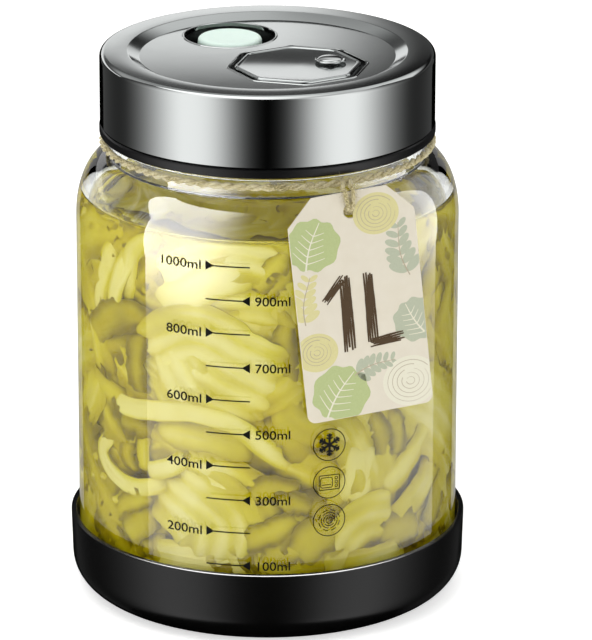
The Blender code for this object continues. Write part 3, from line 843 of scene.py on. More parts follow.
@dataclass
class Cabbage:
    """Heap of pickled cabbage: pieces pressed against the glass, others behind and on top, a core."""

    glass: GlassBody
    seed: int = 23
    clear: float = 0.45  # least distance from the glass
    top: float = 123.3
    drawn_rows: int = 7  # rows of the leaves that are drawn at random
    drawn_low: float = 22.0
    drawn_step: float = 15.7
    topped: int = 22  # pieces on top of the heap
    topped_reach: float = 46.0

    def on_wall(self, s: np.ndarray, t: np.ndarray, depth: np.ndarray) -> np.ndarray:
        """Points of a piece against the glass: s runs round the jar and t is the height."""
        low, high = self.glass.floor + 0.8, self.top + 2.0
        z = low + np.logaddexp(0, (t - low) / 1.5) * 1.5
        z = high - np.logaddexp(0, (high - z) / 1.5) * 1.5
        radius = self.glass.inner_at(z) - depth
        angle = s / self.glass.inner - math.pi / 2
        return np.stack([radius * np.cos(angle), radius * np.sin(angle), z], -1)

    def on_top(self, s: np.ndarray, t: np.ndarray, depth: np.ndarray) -> np.ndarray:
        """Points of a piece on top of the heap: s and t run across it, depth down from the brine."""
        reach = np.maximum(np.hypot(s, t), 1e-6)
        most = self.glass.inner - 2.5
        kept = most - np.logaddexp(0, (most - reach) / 2) * 2
        shrink = np.minimum(kept / reach, 1.0)
        z = self.glass.brine_level - 1.0 - depth
        return np.stack([s * shrink, t * shrink, z], -1)

    def spine(self, leaf: Leaf, place: Place, fine: float) -> tuple:
        """Unrolled middle line of a piece, which runs on past its route, under the neighbours.

        Args:
            leaf: the piece.
            place: where it is laid.
            fine: spacing of the points.

        Returns:
            The points, the way to the side at each, how far along the route each is, and its length.
        """
        route = curve_through([(x, y, 0.0) for x, y in leaf.route], 12)[:, :2]
        if place == self.on_wall:
            route[:, 0] = np.radians(route[:, 0]) * self.glass.inner
        reach = np.concatenate([[0.0], np.cumsum(np.linalg.norm(np.diff(route, axis=0), axis=1))])
        length = reach[-1]
        over = 0.12 * leaf.width
        rows = max(10, round((length + 2 * over) / fine))
        along = (np.linspace(-1, 1, rows + 1) + 1) / 2 * (length + 2 * over) - over
        inside = np.clip(along, 0, length)
        line = np.stack([np.interp(inside, reach, route[:, k]) for k in (0, 1)], 1)
        ends = [route[1] - route[0], route[-1] - route[-2]]
        ends = [e / max(np.linalg.norm(e), 1e-9) for e in ends]
        line += np.minimum(along, 0)[:, None] * ends[0] + np.maximum(along - length, 0)[:, None] * ends[1]
        ahead = ways(line)
        return line, np.stack([-ahead[:, 1], ahead[:, 0]], 1), along, length

    def leaf_mesh(self, leaf: Leaf, place: Place, rng: np.random.Generator) -> tuple:
        """Points, faces and values of one piece.

        Args:
            leaf: the piece.
            place: puts its unrolled points (s, t, depth) in the jar.
            rng: gives its ruffles and ragged edges.

        Returns:
            Points, faces, the values leaf, shade and fibre, and the points' (s, t, depth).
        """
        fine = leaf.grain * (0.8 if leaf.blade > 0.7 else 1.0)
        line, side, along, length = self.spine(leaf, place, fine)
        rows, columns = len(along) - 1, max(8, round(leaf.width / fine))
        u, v = np.meshgrid(np.linspace(-1, 1, rows + 1), np.linspace(-1, 1, columns + 1), indexing="ij")
        a = along[:, None] + 0 * v
        phase = rng.uniform(0, math.tau, 10)
        rough = 0.03 + 0.1 * leaf.blade
        ragged = 1 + rough * (np.sin(a * 0.33 + phase[0] + v) + 0.6 * np.sin(a * 0.9 + phase[1] - v))
        ragged += 0.07 * leaf.blade * np.sin(a * 2.3 + phase[1] + 4 * v)
        taper = np.sqrt(1 - np.abs(u) ** (6 - 3 * leaf.blade) * 0.93)
        half = leaf.width / 2 * taper * ragged
        s = line[:, :1] + side[:, :1] * v * half
        t = line[:, 1:] + side[:, 1:] * v * half
        middle = rng.uniform(-0.25, 0.25) * leaf.blade
        share = max(1 - leaf.blade, 0.12)
        q = np.minimum(np.abs(v - middle) / share, 1)
        thin = 0.5
        thick = thin + max(leaf.rib - thin, 0) * np.sqrt(np.maximum(1 - q**2.2, 0))
        thick = thick * (1 - 0.5 * np.abs(u) ** 3)
        blade = np.clip((np.abs(v - middle) - 0.4 * share) / (1 - 0.4 * share), 0, 1)
        waves = np.sin(a * 0.7 + phase[2] + 1.5 * v) + 0.6 * np.sin(a * 1.35 + phase[3] - 2 * v)
        waves += 0.5 * np.sin(a * 2.2 + phase[6] + 2 * v)
        ruffle = leaf.blade * blade**1.3 * waves * 1.3
        lanes = v * half / 3.1 + 0.5 * np.sin(a * 0.09 + phase[5]) + phase[9]
        folds = np.sin(lanes * math.pi) * min(max((leaf.width - 8) / 10, 0.0), 1.0)
        swell = 0.6 * np.sin(a * 0.13 + phase[4]) + 0.35 * np.sin(a * 0.25 + 1.1 * v + phase[5])
        tilt = rng.uniform(-1.0, 1.0) * v * leaf.width * 0.05
        cup = rng.uniform(0.4, 1.0) * np.abs(v) ** 2.5 * min(leaf.width, 12.0) * 0.1
        dive = 4.5 * np.abs(u) ** 5
        depth = leaf.depth + thick / 2 + ruffle + swell + tilt + cup + dive + 0.45 * folds
        outer = depth - thick / 2
        pressed = self.clear + np.logaddexp(0, (outer - self.clear) / 0.45) * 0.45
        t = t + 0.15 * leaf.blade * np.sin(a * 2.3 + 3 * v + phase[6])
        front = place(s, t, pressed)
        back = place(s, t, pressed + thick)
        drift = leaf.fade * (a / max(length, 1e-6) - 0.5) + 0.09 * np.sin(a * 0.16 + 2 * v + phase[8])
        # sides and ends turn yellower: partly the leaf's own colour, partly painted shade where the piece
        # curves away
        side_on = 0.26 * np.abs(v) ** 2.2 + 0.1 * np.abs(u) ** 3
        # the hollows of the folds are painted yellower, which is painted shade
        value = leaf.tone + side_on + blade * (0.1 + 0.3 * leaf.blade) + drift + 0.1 * folds - 0.03
        value = np.clip(value, 0, 1)
        fibre = np.stack([a * 0.07 + phase[7], v * half * 0.7, np.zeros_like(a) + phase[9] * 7], -1)
        points = np.vstack([front.reshape(-1, 3), back.reshape(-1, 3)])
        spots = [np.stack([s, t, d], -1).reshape(-1, 3) for d in (pressed, pressed + thick)]
        values = {
            "leaf": np.tile(value.ravel(), 2),
            "shade": np.full(len(points), leaf.shade),
            "fibre": np.tile(fibre.reshape(-1, 3), (2, 1)),
        }
        return points, slab(rows, columns), values, np.vstack(spots)

    def others(self, draw: random.Random) -> list[Leaf]:
        """Pieces that nobody placed by hand: round the back, and two layers behind the front ones."""
        found = []
        # of each layer the first azimuth, spacing, columns, least and greatest depth, and painted shade
        layers = (
            (76, 25.0, 9, 0.3, 1.4, 0.0),
            (-180, 32.7, 11, 1.9, 3.2, 0.0),
            (-168, 36, 10, 3.8, 5.2, 0.15),
        )
        unit = math.degrees(1 / self.glass.inner)
        for start, spacing, columns, nearest, farthest, shade in layers:
            for row in range(self.drawn_rows):
                for k in range(columns):
                    azimuth = start + (k + 0.5 * (row % 2)) * spacing + draw.uniform(-6, 6)
                    height = self.drawn_low + row * self.drawn_step + draw.uniform(-4, 4)
                    depth = draw.uniform(nearest, farthest)
                    found.append(self.draw_leaf(draw, (azimuth, height), depth, shade, unit))
        return found

    def draw_leaf(self, draw: random.Random, at: Point, depth: float, shade: float, unit: float) -> Leaf:
        """One piece of random size, bend and kind; unit is how much of x makes a millimetre."""
        blade = draw.choice((0.1, 0.2, 0.35, 0.5, 0.8, 1.0))
        course = math.radians(draw.uniform(-70, 80))
        bend = math.radians(draw.uniform(-40, 40))
        length = draw.uniform(44, 76)
        route = []
        for step in (-1.0, -0.35, 0.35, 1.0):
            turn = course + bend * step / 2
            reach = length / 2 * step
            route.append((at[0] + unit * reach * math.cos(turn), at[1] + reach * math.sin(turn)))
        return Leaf(
            tuple(route),
            draw.uniform(14, 27),
            depth,
            draw.uniform(2.5, 5.5) * (1 - 0.6 * blade),
            blade,
            draw.uniform(0.1, 0.35) + 0.3 * blade,
            draw.uniform(-0.2, 0.2),
            shade * draw.uniform(0.5, 1.2),
            2.1,
        )

    def core(self) -> Piece:
        """Lumpy body of packed leaves behind those that show, darkened with painted shade."""
        piece = Piece()
        rows, columns = 48, 120
        angle = np.arange(columns) * math.tau / columns
        heights = np.linspace(self.glass.floor + 1.0, self.top - 6.0, rows)
        rings = []
        for z in heights:
            lump = 1.3 * np.sin(5 * angle + z * 0.21) + 1.0 * np.sin(9 * angle - z * 0.33)
            lump += 0.5 * np.sin(17 * angle + z * 0.5)
            radius = self.glass.inner_at(np.array(z)) - 7.5 + lump
            rings.append(np.stack([radius * np.cos(angle), radius * np.sin(angle), np.full(columns, z)], -1))
        points = np.vstack(rings)
        # the core shows only in the gaps, so it gets heavy painted shade
        leaf, shade = np.full(len(points), 0.6), np.full(len(points), 0.8)
        piece.add(points, skin(rows, columns), leaf=leaf, shade=shade, fibre=points * 0.3)
        return piece

    def build(self) -> None:
        """Makes the heap as one piece for each kind of leaf, and its core."""
        draw = random.Random(self.seed)
        rng = np.random.default_rng(self.seed)
        kinds = {kind: Piece() for kind in Kind}
        laid = [(leaf, self.on_wall) for leaf in (*FRONT_LEAVES, *self.others(draw))]
        for k in range(self.topped):
            reach = self.topped_reach * math.sqrt((k + 0.5) / self.topped)
            turn = 2.4 * k
            at = (reach * math.cos(turn), reach * math.sin(turn))
            laid.append((self.draw_leaf(draw, at, draw.uniform(1.0, 4.0), 0.0, 1.0), self.on_top))
        made = [self.leaf_mesh(leaf, place, rng) for leaf, place in laid]
        crowd = Crowd(math.tau * self.glass.inner)
        for (_, place), (_, _, _, spots) in zip(laid, made):
            if place == self.on_wall:
                crowd.lay(spots)
        crowd.soften()
        for (leaf, place), (points, faces, values, spots) in zip(laid, made):
            if place == self.on_wall:
                # painted shade: pieces that lie behind others turn yellower and, deeper in, brown
                behind = crowd.behind(spots)
                values["leaf"] = np.clip(values["leaf"] + 0.45 * behind, 0, 1)
                values["shade"] = np.clip(values["shade"] * 0.5 + behind**2.4, 0, 0.93)
            kinds[Kind.of(leaf)].add(points, faces, **values)
        for kind, piece in kinds.items():
            piece.build(kind.value, CABBAGE, "cabbage", ["pickled_cabbage"], 60)
        self.core().build("cabbage_core", CABBAGE, "cabbage", ["pickled_cabbage"], 60)


@dataclass
class Sleeve:
    """Rubber cup that the glass stands in."""

    outer: float = float(size_of("base_sleeve")[1][0])
    rim: float = float(size_of("base_sleeve")[1][2])
    flat: float = 50.5
    heel: float = 10.0
    thickness: float = 1.7
    floor: float = 3.0
    soft: float = 0.6
    flare: float = 5.0
    gap: float = 0.3

    def build(self, glass: GlassBody) -> None:
        """Makes the sleeve round the foot of the glass."""
        inner = glass.outer + self.gap
        rim_in = self.outer - self.thickness
        soft = self.soft
        profile: list[Point] = [(0.0, 0.0), (self.flat, 0.0)]
        profile += polyline_arc((self.flat, self.heel), self.heel, -82, 0, 12)
        profile += polyline_arc((self.outer - soft, self.rim - soft), soft, 0, 90, 5)
        profile += polyline_arc((rim_in + soft / 2, self.rim - soft / 2), soft / 2, 90, 180, 4)
        profile.append((inner, self.rim - self.flare))
        profile += polyline_arc((inner - glass.heel, self.floor + glass.heel), glass.heel, 0, -90, 8)
        profile.append((0.0, self.floor))
        sleeve = turned(profile, 192)
        sleeve.build("silicone_sleeve", BLACK_SILICONE, "sleeve_rubber", ["base_sleeve"], 40)


def rounded_polygon(sides: int, radius: float, turn: float, soft: float, steps: int) -> np.ndarray:
    """A regular polygon with rounded corners about the origin.

    Args:
        sides: number of sides.
        radius: from the middle to a sharp corner.
        turn: angle of the first corner in degrees.
        soft: radius of a corner.
        steps: spans in a corner.

    Returns:
        Points (n, 2), anticlockwise.
    """
    half = math.pi / sides
    r = radius - soft / math.cos(half)
    points = []
    for i in range(sides):
        corner = math.radians(turn) + math.tau * i / sides
        x, y = r * math.cos(corner), r * math.sin(corner)
        for k in range(steps + 1):
            a = corner - half + math.tau / sides * k / steps
            points.append((x + soft * math.cos(a), y + soft * math.sin(a)))
    return np.array(points)


@dataclass
class Lid:
    """Screw lid: steel shell with a sunk pan, black liner, valve, eight-sided plate and stud."""

    radius: float = float(size_of("lid_shell")[1][0])
    top: float = float(size_of("lid_shell")[1][2])
    skirt: float = float(size_of("lid_shell")[0][2])
    sheet: float = 1.0
    edge: float = 1.7
    pan_outer: float = 43.1
    pan: float = 38.7
    drop: float = 1.75
    ring: float = float(size_of("lid_liner")[1][0])
    ring_low: float = float(size_of("lid_liner")[0][2])
    plug_low: float = 159.3
    well_low: float = 161.5
    hole: float = 13.9
    plate_hole: float = 21.2
    plate: float = 19.5
    plate_turn: float = 7.0
    rim_height: float = 0.22
    segments: int = 240

    @property
    def pan_height(self) -> float:
        """Height of the pan's upper face."""
        return self.top - self.drop

    def centre(self, node: str) -> Point:
        """Middle of a node seen from above."""
        low, high = size_of(node)
        return (float(low[0] + high[0]) / 2, float(low[1] + high[1]) / 2)

    def circle(self, radius: float, count: int) -> np.ndarray:
        """Points of a circle about the origin."""
        a = np.arange(count) * math.tau / count
        return np.stack([np.cos(a), np.sin(a)], -1) * radius

    def octagon(self, radius: float) -> np.ndarray:
        """Outline of the plate or its hole, with slightly soft corners."""
        return rounded_polygon(8, radius, self.plate_turn, 4.5, 6)

    def shell_profile(self) -> list[Point]:
        """From the pan's upper edge, out over the rim, down the side and back to the pan's underside."""
        pan_z, under = self.pan_height, self.sheet
        profile = polyline_arc((self.pan, pan_z + 0.6), 0.6, -90, -60, 1)
        profile += polyline_arc((self.pan_outer - 0.6, self.top - 0.9), 0.9, 115, 90, 4)
        profile += polyline_arc((self.radius - self.edge, self.top - self.edge), self.edge, 90, 0, 14)
        profile += [(self.radius, self.top - 6.0), (self.radius, self.skirt + 0.3)]
        profile += [(self.radius - 0.3, self.skirt), (self.radius - under, self.skirt)]
        inner = self.edge - under
        profile += polyline_arc((self.radius - self.edge, self.top - self.edge), inner, 0, 90, 4)
        profile += [(self.pan_outer + 0.3, self.top - under), (self.pan + 0.8, pan_z - under)]
        return profile

    def build_shell(self) -> None:
        """Steel shell: the turned part bridged to a pan with its two holes, each with a raised lip."""
        mesh = bmesh.new()
        pan_z, under = self.pan_height, self.sheet

        def ring(points: np.ndarray, z: float, at: Point = (0.0, 0.0)) -> list:
            return [mesh.verts.new(((x + at[0]) * MM, (y + at[1]) * MM, z * MM)) for x, y in points]

        outer = [ring(self.circle(r, self.segments), z) for r, z in self.shell_profile()]
        bridge(mesh, outer)
        holes = []
        lip = self.rim_height
        outs = (0.75, 0.55, 0.4, 0.2, 0.06, 0.0, 0.0)
        steps = list(zip(outs, (0.0, lip * 0.8, lip, lip, lip * 0.7, 0.0, -under)))
        valve, plate = self.centre("valve_button"), self.centre("cover_plate")
        for shape, size, at in ((self.circle, self.hole, valve), (self.octagon, self.plate_hole, plate)):
            count = (96,) if shape == self.circle else ()
            rings = [ring(shape(size + out, *count), pan_z + up, at) for out, up in steps]
            bridge(mesh, rings)
            holes.append(rings)
        for end in (0, -1):
            fill(mesh, [outer[end], holes[0][end], holes[1][end]])
        data = baked(mesh, "lid_steel_shell")
        shell = settle("lid_steel_shell", data, STEEL_SIDE, ["lid_shell"], 14)
        data.materials.append(STEEL_TOP.material())
        for face in data.polygons:
            if face.normal.z > 0.85 and face.center.z > (pan_z - 0.2) * MM:
                face.material_index = 1
        LOG.info("%s has its spun top", shell.name)

    def build_liner(self, glass: GlassBody) -> None:
        """Black liner: a plug with the valve's blind well, the skirt, and the ring below the steel."""
        top = self.pan_height - self.sheet - 0.3
        out = self.radius - self.sheet - 0.3
        skirt_in = glass.neck + 0.35
        plug = glass.neck - glass.neck_wall - 0.35
        profile: list[Point] = [(0.0, self.plug_low), (plug, self.plug_low), (plug, glass.mouth + 0.3)]
        profile += [(skirt_in, glass.mouth + 0.3), (skirt_in, self.ring_low + 0.5)]
        profile += polyline_arc((skirt_in + 0.5, self.ring_low + 0.5), 0.5, 180, 270, 4)
        profile += polyline_arc((self.ring - 0.5, self.ring_low + 0.5), 0.5, -90, 0, 5)
        profile += [(self.ring, self.skirt - 0.95), (self.ring - 0.15, self.skirt - 0.6)]
        profile += [(self.radius - 0.25, self.skirt - 0.3), (out, self.skirt - 0.3), (out, top)]
        body = turned([*profile, (0.0, top)], 192)
        liner = body.build("lid_liner_moulded", BLACK_PLASTIC, "liner_plastic", ["lid_liner"], 35)
        low, high = self.well_low, top + 2
        well = [(0.0, low), (self.hole, low), (self.hole, high), (0.0, high)]
        cutter = turned(well, 96).build("well_cutter", BLACK_PLASTIC, "liner_plastic")
        cutter.location = (*(c * MM for c in self.centre("valve_button")), 0.0)
        cut = liner.modifiers.new("well", "BOOLEAN")
        cut.object = cutter
        bpy.context.view_layer.update()
        graph = bpy.context.evaluated_depsgraph_get()
        done = bpy.data.meshes.new_from_object(liner.evaluated_get(graph))
        liner.modifiers.clear()
        liner.data = done
        done.shade_smooth()
        done.set_sharp_from_angle(angle=math.radians(35))
        bpy.data.objects.remove(cutter)
        liner.visible_transmission = False

    def build_valve(self) -> None:
        """Pale valve: a soft button on a wider flange, with a shallow dish on top."""
        low, high = size_of("valve_button")
        flange = float(high[0] - low[0]) / 2
        button = flange - 1.1
        foot, top = float(low[2]), float(high[2])
        step = foot + 2.6
        profile: list[Point] = [(0.0, foot), (flange - 0.5, foot)]
        profile += polyline_arc((flange - 0.5, foot + 0.5), 0.5, -90, 0, 4)
        profile += polyline_arc((flange - 0.8, step - 0.8), 0.8, 0, 90, 6)
        profile += polyline_arc((button + 0.35, step + 0.35), 0.35, -90, -180, 4)
        profile += polyline_arc((button - 1.3, top - 1.3), 1.3, 0, 90, 10)
        profile += [(button * 0.66, top - 0.06), (button * 0.6, top - 0.2), (button * 0.3, top - 0.32)]
        valve = turned([*profile, (0.0, top - 0.35)], 96, self.centre("valve_button"))
        valve.build("valve_silicone_button", PALE_SILICONE, "valve_silicone", ["valve_button"], 50)

    def build_plate(self) -> None:
        """Eight-sided plate with a bright bevelled edge and a fine raised line inside it."""
        low, high = size_of("cover_plate")
        at = self.centre("cover_plate")
        foot, top = float(low[2]), float(high[2])
        steps = (
            (0.0, foot),
            (0.0, top - 0.7),
            (0.12, top - 0.35),
            (0.4, top - 0.08),
            (0.62, top),
            (0.95, top),
            (1.15, top - 0.12),
            (1.3, top - 0.3),
            (1.5, top - 0.34),
        )
        rings = [self.octagon(self.plate - inset) for inset, _ in steps]
        points = [(x + at[0], y + at[1], z) for shape, (_, z) in zip(rings, steps) for x, y in shape]
        plate = Piece()
        plate.add(np.array(points), skin(len(rings), len(rings[0])))
        plate.build("cover_plate_steel", STEEL_TOP, "lid_steel", ["cover_plate"], 14)

    def build_stud(self) -> None:
        """Domed stud on its washer."""
        low, high = size_of("plate_stud")
        radius = float(high[0] - low[0]) / 2
        foot, top = float(low[2]), float(high[2])
        washer = foot + 0.4
        profile: list[Point] = [(0.0, foot), (radius, foot), (radius, washer - 0.15), (radius - 0.15, washer)]
        profile += [(radius * 0.88, washer), (radius * 0.84, washer - 0.08)]
        profile += polyline_arc((0.0, washer), (radius * 0.8, top - washer), 0, 88, 14)
        stud = turned([*profile, (0.0, top)], 64, self.centre("plate_stud"))
        stud.build("plate_stud_steel", STEEL_SIDE, "lid_steel", ["plate_stud"], 40)

    def build(self, glass: GlassBody) -> None:
        """Makes the whole lid."""
        self.build_liner(glass)
        self.build_shell()
        self.build_valve()
        self.build_plate()
        self.build_stud()


@dataclass
class Art:
    """Flat print, gathered as closed films of ink on a sheet of millimetres and laid on a surface."""

    thick: float = 0.02
    piece: Piece = field(default_factory=Piece)
    place: Place = lambda x, y, h: np.stack([x, y, h], -1)
    lift: float = 0.0
    laid: int = 0

    def film(self, points: np.ndarray, faces: list, border: list[list[int]]) -> None:
        """Adds a film from flat points and faces; border holds its closed edge loops."""
        count = len(points)
        flat = np.asarray(points, float)
        self.laid += 1
        low = self.lift + 0.0008 * (self.laid % 12)  # films that cross don't share a plane
        both = [self.place(flat[:, 0], flat[:, 1], np.full(count, h)) for h in (low, low + self.thick)]
        walls = []
        for loop in border:
            walls += [[loop[i - 1], loop[i], loop[i] + count, loop[i - 1] + count] for i in range(len(loop))]
        top = [[i + count for i in f] for f in faces]
        self.piece.add(np.vstack(both), [f[::-1] for f in faces] + top + walls)

    def shape(self, outline: Sequence[Point]) -> None:
        """A filled outline, anticlockwise, that can be seen whole from its middle."""
        points = np.array([np.mean(outline, 0), *outline])
        count = len(outline)
        faces = [[0, 1 + i, 1 + (i + 1) % count] for i in range(count)]
        self.film(points, faces, [[1 + i for i in range(count)]])

    def stroke(self, route: Sequence[Point], width: float | Sequence[float], closed: bool = False) -> None:
        """A line along a route, of one width or one a point."""
        line = np.array(route, float)
        ahead = ways(line, closed)
        half = np.broadcast_to(np.asarray(width, float), (len(line),))[:, None] / 2
        side = np.stack([-ahead[:, 1], ahead[:, 0]], -1) * half
        count = len(line)
        points = np.vstack([line - side, line + side])
        spans = [(i, (i + 1) % count) for i in range(count if closed else count - 1)]
        faces = [[i, j, j + count, i + count] for i, j in spans]
        if closed:
            border = [list(range(count)), list(range(2 * count - 1, count - 1, -1))]
        else:
            border = [[*range(count), *range(2 * count - 1, count - 1, -1)]]
        self.film(points, faces, border)

    def ring(self, centre: Point, radius: float, width: float, start: float = 0, end: float = 360) -> None:
        """A circle or an arc of it, in degrees."""
        closed = end - start >= 360
        count = max(8, round((end - start) / 7.5))
        angles = np.radians(np.linspace(start, end, count, endpoint=not closed))
        route = np.stack([centre[0] + radius * np.cos(angles), centre[1] + radius * np.sin(angles)], -1)
        self.stroke(route, width, closed)

    def words(self, text: str, at: Point, size: float, align: str, narrow: float = 1.0) -> None:
        """Plain figures and letters.

        Args:
            text: what they say.
            at: where their base line starts, or ends if align is RIGHT.
            size: the font's size.
            align: LEFT or RIGHT.
            narrow: their width against the font's own.
        """
        curve = bpy.data.curves.new("lettering", "FONT")
        curve.body = text
        curve.size = 1.0
        curve.align_x = align
        curve.resolution_u = 4
        curve.offset = 0.012
        curve.extrude = 0.5
        holder = put("lettering", curve)
        bpy.context.view_layer.update()
        mesh = bpy.data.meshes.new_from_object(holder.evaluated_get(bpy.context.evaluated_depsgraph_get()))
        points = np.array([v.co for v in mesh.vertices])
        high = self.lift + self.thick * (points[:, 2] > 0)
        x, y = at[0] + points[:, 0] * size * narrow, at[1] + points[:, 1] * size
        self.piece.add(self.place(x, y, high), [list(f.vertices) for f in mesh.polygons])
        bpy.data.objects.remove(holder)
        bpy.data.meshes.remove(mesh)
        bpy.data.curves.remove(curve)


@dataclass
class GlassPrint:
    """Black print on the glass: the millilitre scale and three plain use signs."""

    glass: GlassBody
    first: float = 25.5  # height of the 100 ml mark
    step: float = 10.48
    figure: float = 3.95
    line: float = 0.42
    off: float = 0.03

    def on_glass(self, x: np.ndarray, y: np.ndarray, h: np.ndarray) -> np.ndarray:
        """Lays the sheet round the glass: x is arc length from the front and y the height."""
        radius = self.glass.outer + self.off + h
        angle = x / self.glass.outer - math.pi / 2
        return np.stack([radius * np.cos(angle), radius * np.sin(angle), y], -1)

    def along(self, azimuth: float) -> float:
        """Arc length from the front to an azimuth."""
        return math.radians(azimuth) * self.glass.outer

    def build(self) -> None:
        """Makes the scale and the signs."""
        scale = Art(place=self.on_glass)
        left, right = self.along(-18.3), self.along(-5.1)
        for mark in range(1, 11):
            z = self.first + (mark - 1) * self.step
            text = f"{mark * 100}ml"
            route = [(left + (right - left) * i / 12, z) for i in range(13)]
            if mark % 2 == 0:
                scale.stroke(route[2:], self.line)
                scale.shape([(left, z - 1.5), (left + 2.5, z), (left, z + 1.5)])
                scale.words(text, (left - 1.2, z - self.figure * 0.36), self.figure, "RIGHT", 1.2)
            else:
                scale.stroke(route[:-2], self.line)
                scale.shape([(right - 2.5, z), (right, z - 1.5), (right, z + 1.5)])
                scale.words(text, (right + 1.4, z - self.figure * 0.36), self.figure, "LEFT", 1.1)
        scale.piece.build("glass_scale_print", BLACK_INK, "clear_glass", sharp=20).visible_shadow = False
        signs = Art(place=self.on_glass)
        across = self.along(18.5)
        self.snow(signs, (across, 63.3))
        self.oven(signs, (across, 51.3))
        self.hob(signs, (across, 39.2))
        signs.piece.build("glass_sign_print", BLACK_INK, "clear_glass", sharp=20).visible_shadow = False

    def snow(self, art: Art, at: Point) -> None:
        """Sign for cold storage: a six-armed crystal in a ring."""
        art.ring(at, 5.0, 0.3)
        for arm in range(6):
            ahead, side = heading(90 + 60 * arm)
            art.stroke([np.array(at) + ahead * r for r in (0.0, 1.8, 3.6)], 0.75)
            for reach, size in ((1.7, 1.0), (2.6, 0.85)):
                for turn in (-1, 1):
                    start = np.array(at) + ahead * reach
                    art.stroke([start, start + (ahead * 0.7 + side * turn) * size], 0.55)

    def oven(self, art: Art, at: Point) -> None:
        """Sign for the microwave oven: a door, a shelf line and three knobs in a ring."""
        x, y = at
        art.ring(at, 5.0, 0.3)
        art.stroke(rounded_box((x, y), (6.4, 4.6), 0.4), 0.3, True)
        art.stroke(rounded_box((x - 0.9, y), (3.7, 3.2), 0.6), 0.26, True)
        art.stroke([(x - 2.3, y - 0.7), (x + 0.5, y - 0.7)], 0.26)
        for k in (-1, 0, 1):
            art.ring((x + 2.2, y + 1.25 * k), 0.42, 0.24)

    def hob(self, art: Art, at: Point) -> None:
        """Sign for the glass hob: broken rings inside a ring."""
        art.ring(at, 5.0, 0.3)
        for radius, parts, turn in ((3.3, 8, 10), (2.5, 3, 40), (1.75, 3, 100), (1.0, 4, 20)):
            for k in range(parts):
                start = turn + 360 * k / parts
                art.ring(at, radius, 0.28, start, start + 360 / parts - 16)


def rounded_box(centre: Point, size: Point, soft: float) -> list[Point]:
    """Outline of a box with round corners, anticlockwise."""
    points = []
    for k, (sx, sy) in enumerate(((1, 1), (-1, 1), (-1, -1), (1, -1))):
        x, y = centre[0] + sx * (size[0] / 2 - soft), centre[1] + sy * (size[1] / 2 - soft)
        for a in range(0, 91, 30):
            turn = math.radians(90 * k + a)
            points.append((x + soft * math.cos(turn), y + soft * math.sin(turn)))
    return points


@dataclass
class CardTag:
    """Card tag that hangs in front of the glass, with a plain leaf print and its capacity."""

    width: float = 38.7
    height: float = 70.1
    thick: float = 0.6
    corner: Point = (7.9, 8.3)
    soft: float = 2.6
    hole: float = 2.2
    hole_drop: float = 6.0
    azimuth: float = 14.0
    turn: float = 6.0
    side: float = 13.4
    middle: float = 107.5
    off: float = 58.75

    def matrix(self) -> np.ndarray:
        """The card's own x, y and z axes and its place, as the four rows of one array."""
        a, b = math.radians(self.azimuth), math.radians(self.turn)
        out = np.array([math.sin(a), -math.cos(a), 0.0])
        along = np.array([math.cos(a), math.sin(a), 0.0])
        up = np.array([0.0, 0.0, 1.0])
        x = along * math.cos(b) + up * math.sin(b)
        y = up * math.cos(b) - along * math.sin(b)
        return np.array([x, y, out, out * self.off + along * self.side + up * self.middle])

    def on_card(self, x: np.ndarray, y: np.ndarray, h: np.ndarray) -> np.ndarray:
        """Points of the card's own frame, h from its back face, in the jar's."""
        axes = self.matrix()
        return x[..., None] * axes[0] + y[..., None] * axes[1] + h[..., None] * axes[2] + axes[3]

    def outline(self, inset: float = 0.0) -> list[Point]:
        """The card's edge, anticlockwise from its lower left."""
        w, h, soft = self.width / 2 - inset, self.height / 2 - inset, self.soft
        cx, cy = self.corner[0] - inset * 0.4, self.corner[1] - inset * 0.4
        left = polyline_arc((-w + soft, -h + soft), soft, 180, 270, 8)
        right = polyline_arc((w - soft, -h + soft), soft, 270, 360, 8)
        return [*left, *right, (w, h - cy), (w - cx, h), (-w + cx, h), (-w, h - cy)]

    def build_card(self) -> None:
        """The card itself, with its punched hole and softened edges."""
        mesh = bmesh.new()
        soft = 0.12
        levels = ((soft, 0.0), (0.0, soft), (0.0, self.thick - soft), (soft, self.thick))
        edge = []
        hole = []
        count = 40
        for inset, h in levels:
            shape = np.array(self.outline(inset))
            points = self.on_card(shape[:, 0], shape[:, 1], np.full(len(shape), h)) * MM
            edge.append([mesh.verts.new(p) for p in points])
            a = np.arange(count) * math.tau / count
            r = self.hole + inset
            x, y = r * np.cos(a), self.height / 2 - self.hole_drop + r * np.sin(a)
            hole.append([mesh.verts.new(p) for p in self.on_card(x, y, np.full(count, h)) * MM])
        bridge(mesh, edge)
        bridge(mesh, hole)
        for end in (0, -1):
            fill(mesh, [edge[end], hole[end]])
        settle("tag_card", baked(mesh, "tag_card"), CARD, ["card_tag"], 25)

    def build(self) -> None:
        """Makes the card and its print."""
        self.build_card()
        TagArt(self).build()


class TagColour(Enum):
    """Inks of the tag."""

    SAGE = ("sage", "#B9C48C")
    STRAW = ("straw", "#DCD49C")
    GREY = ("grey", "#BABFA8")
    PALE = ("pale", "#E8E4D0")
    TAUPE = ("taupe", "#BCAF96")
    BROWN = ("brown", "#544330")


def left_of(p: Point, a: Point, b: Point) -> float:
    """How far p lies to the left of the line from a to b, times the line's length."""
    return (b[0] - a[0]) * (p[1] - a[1]) - (b[1] - a[1]) * (p[0] - a[0])


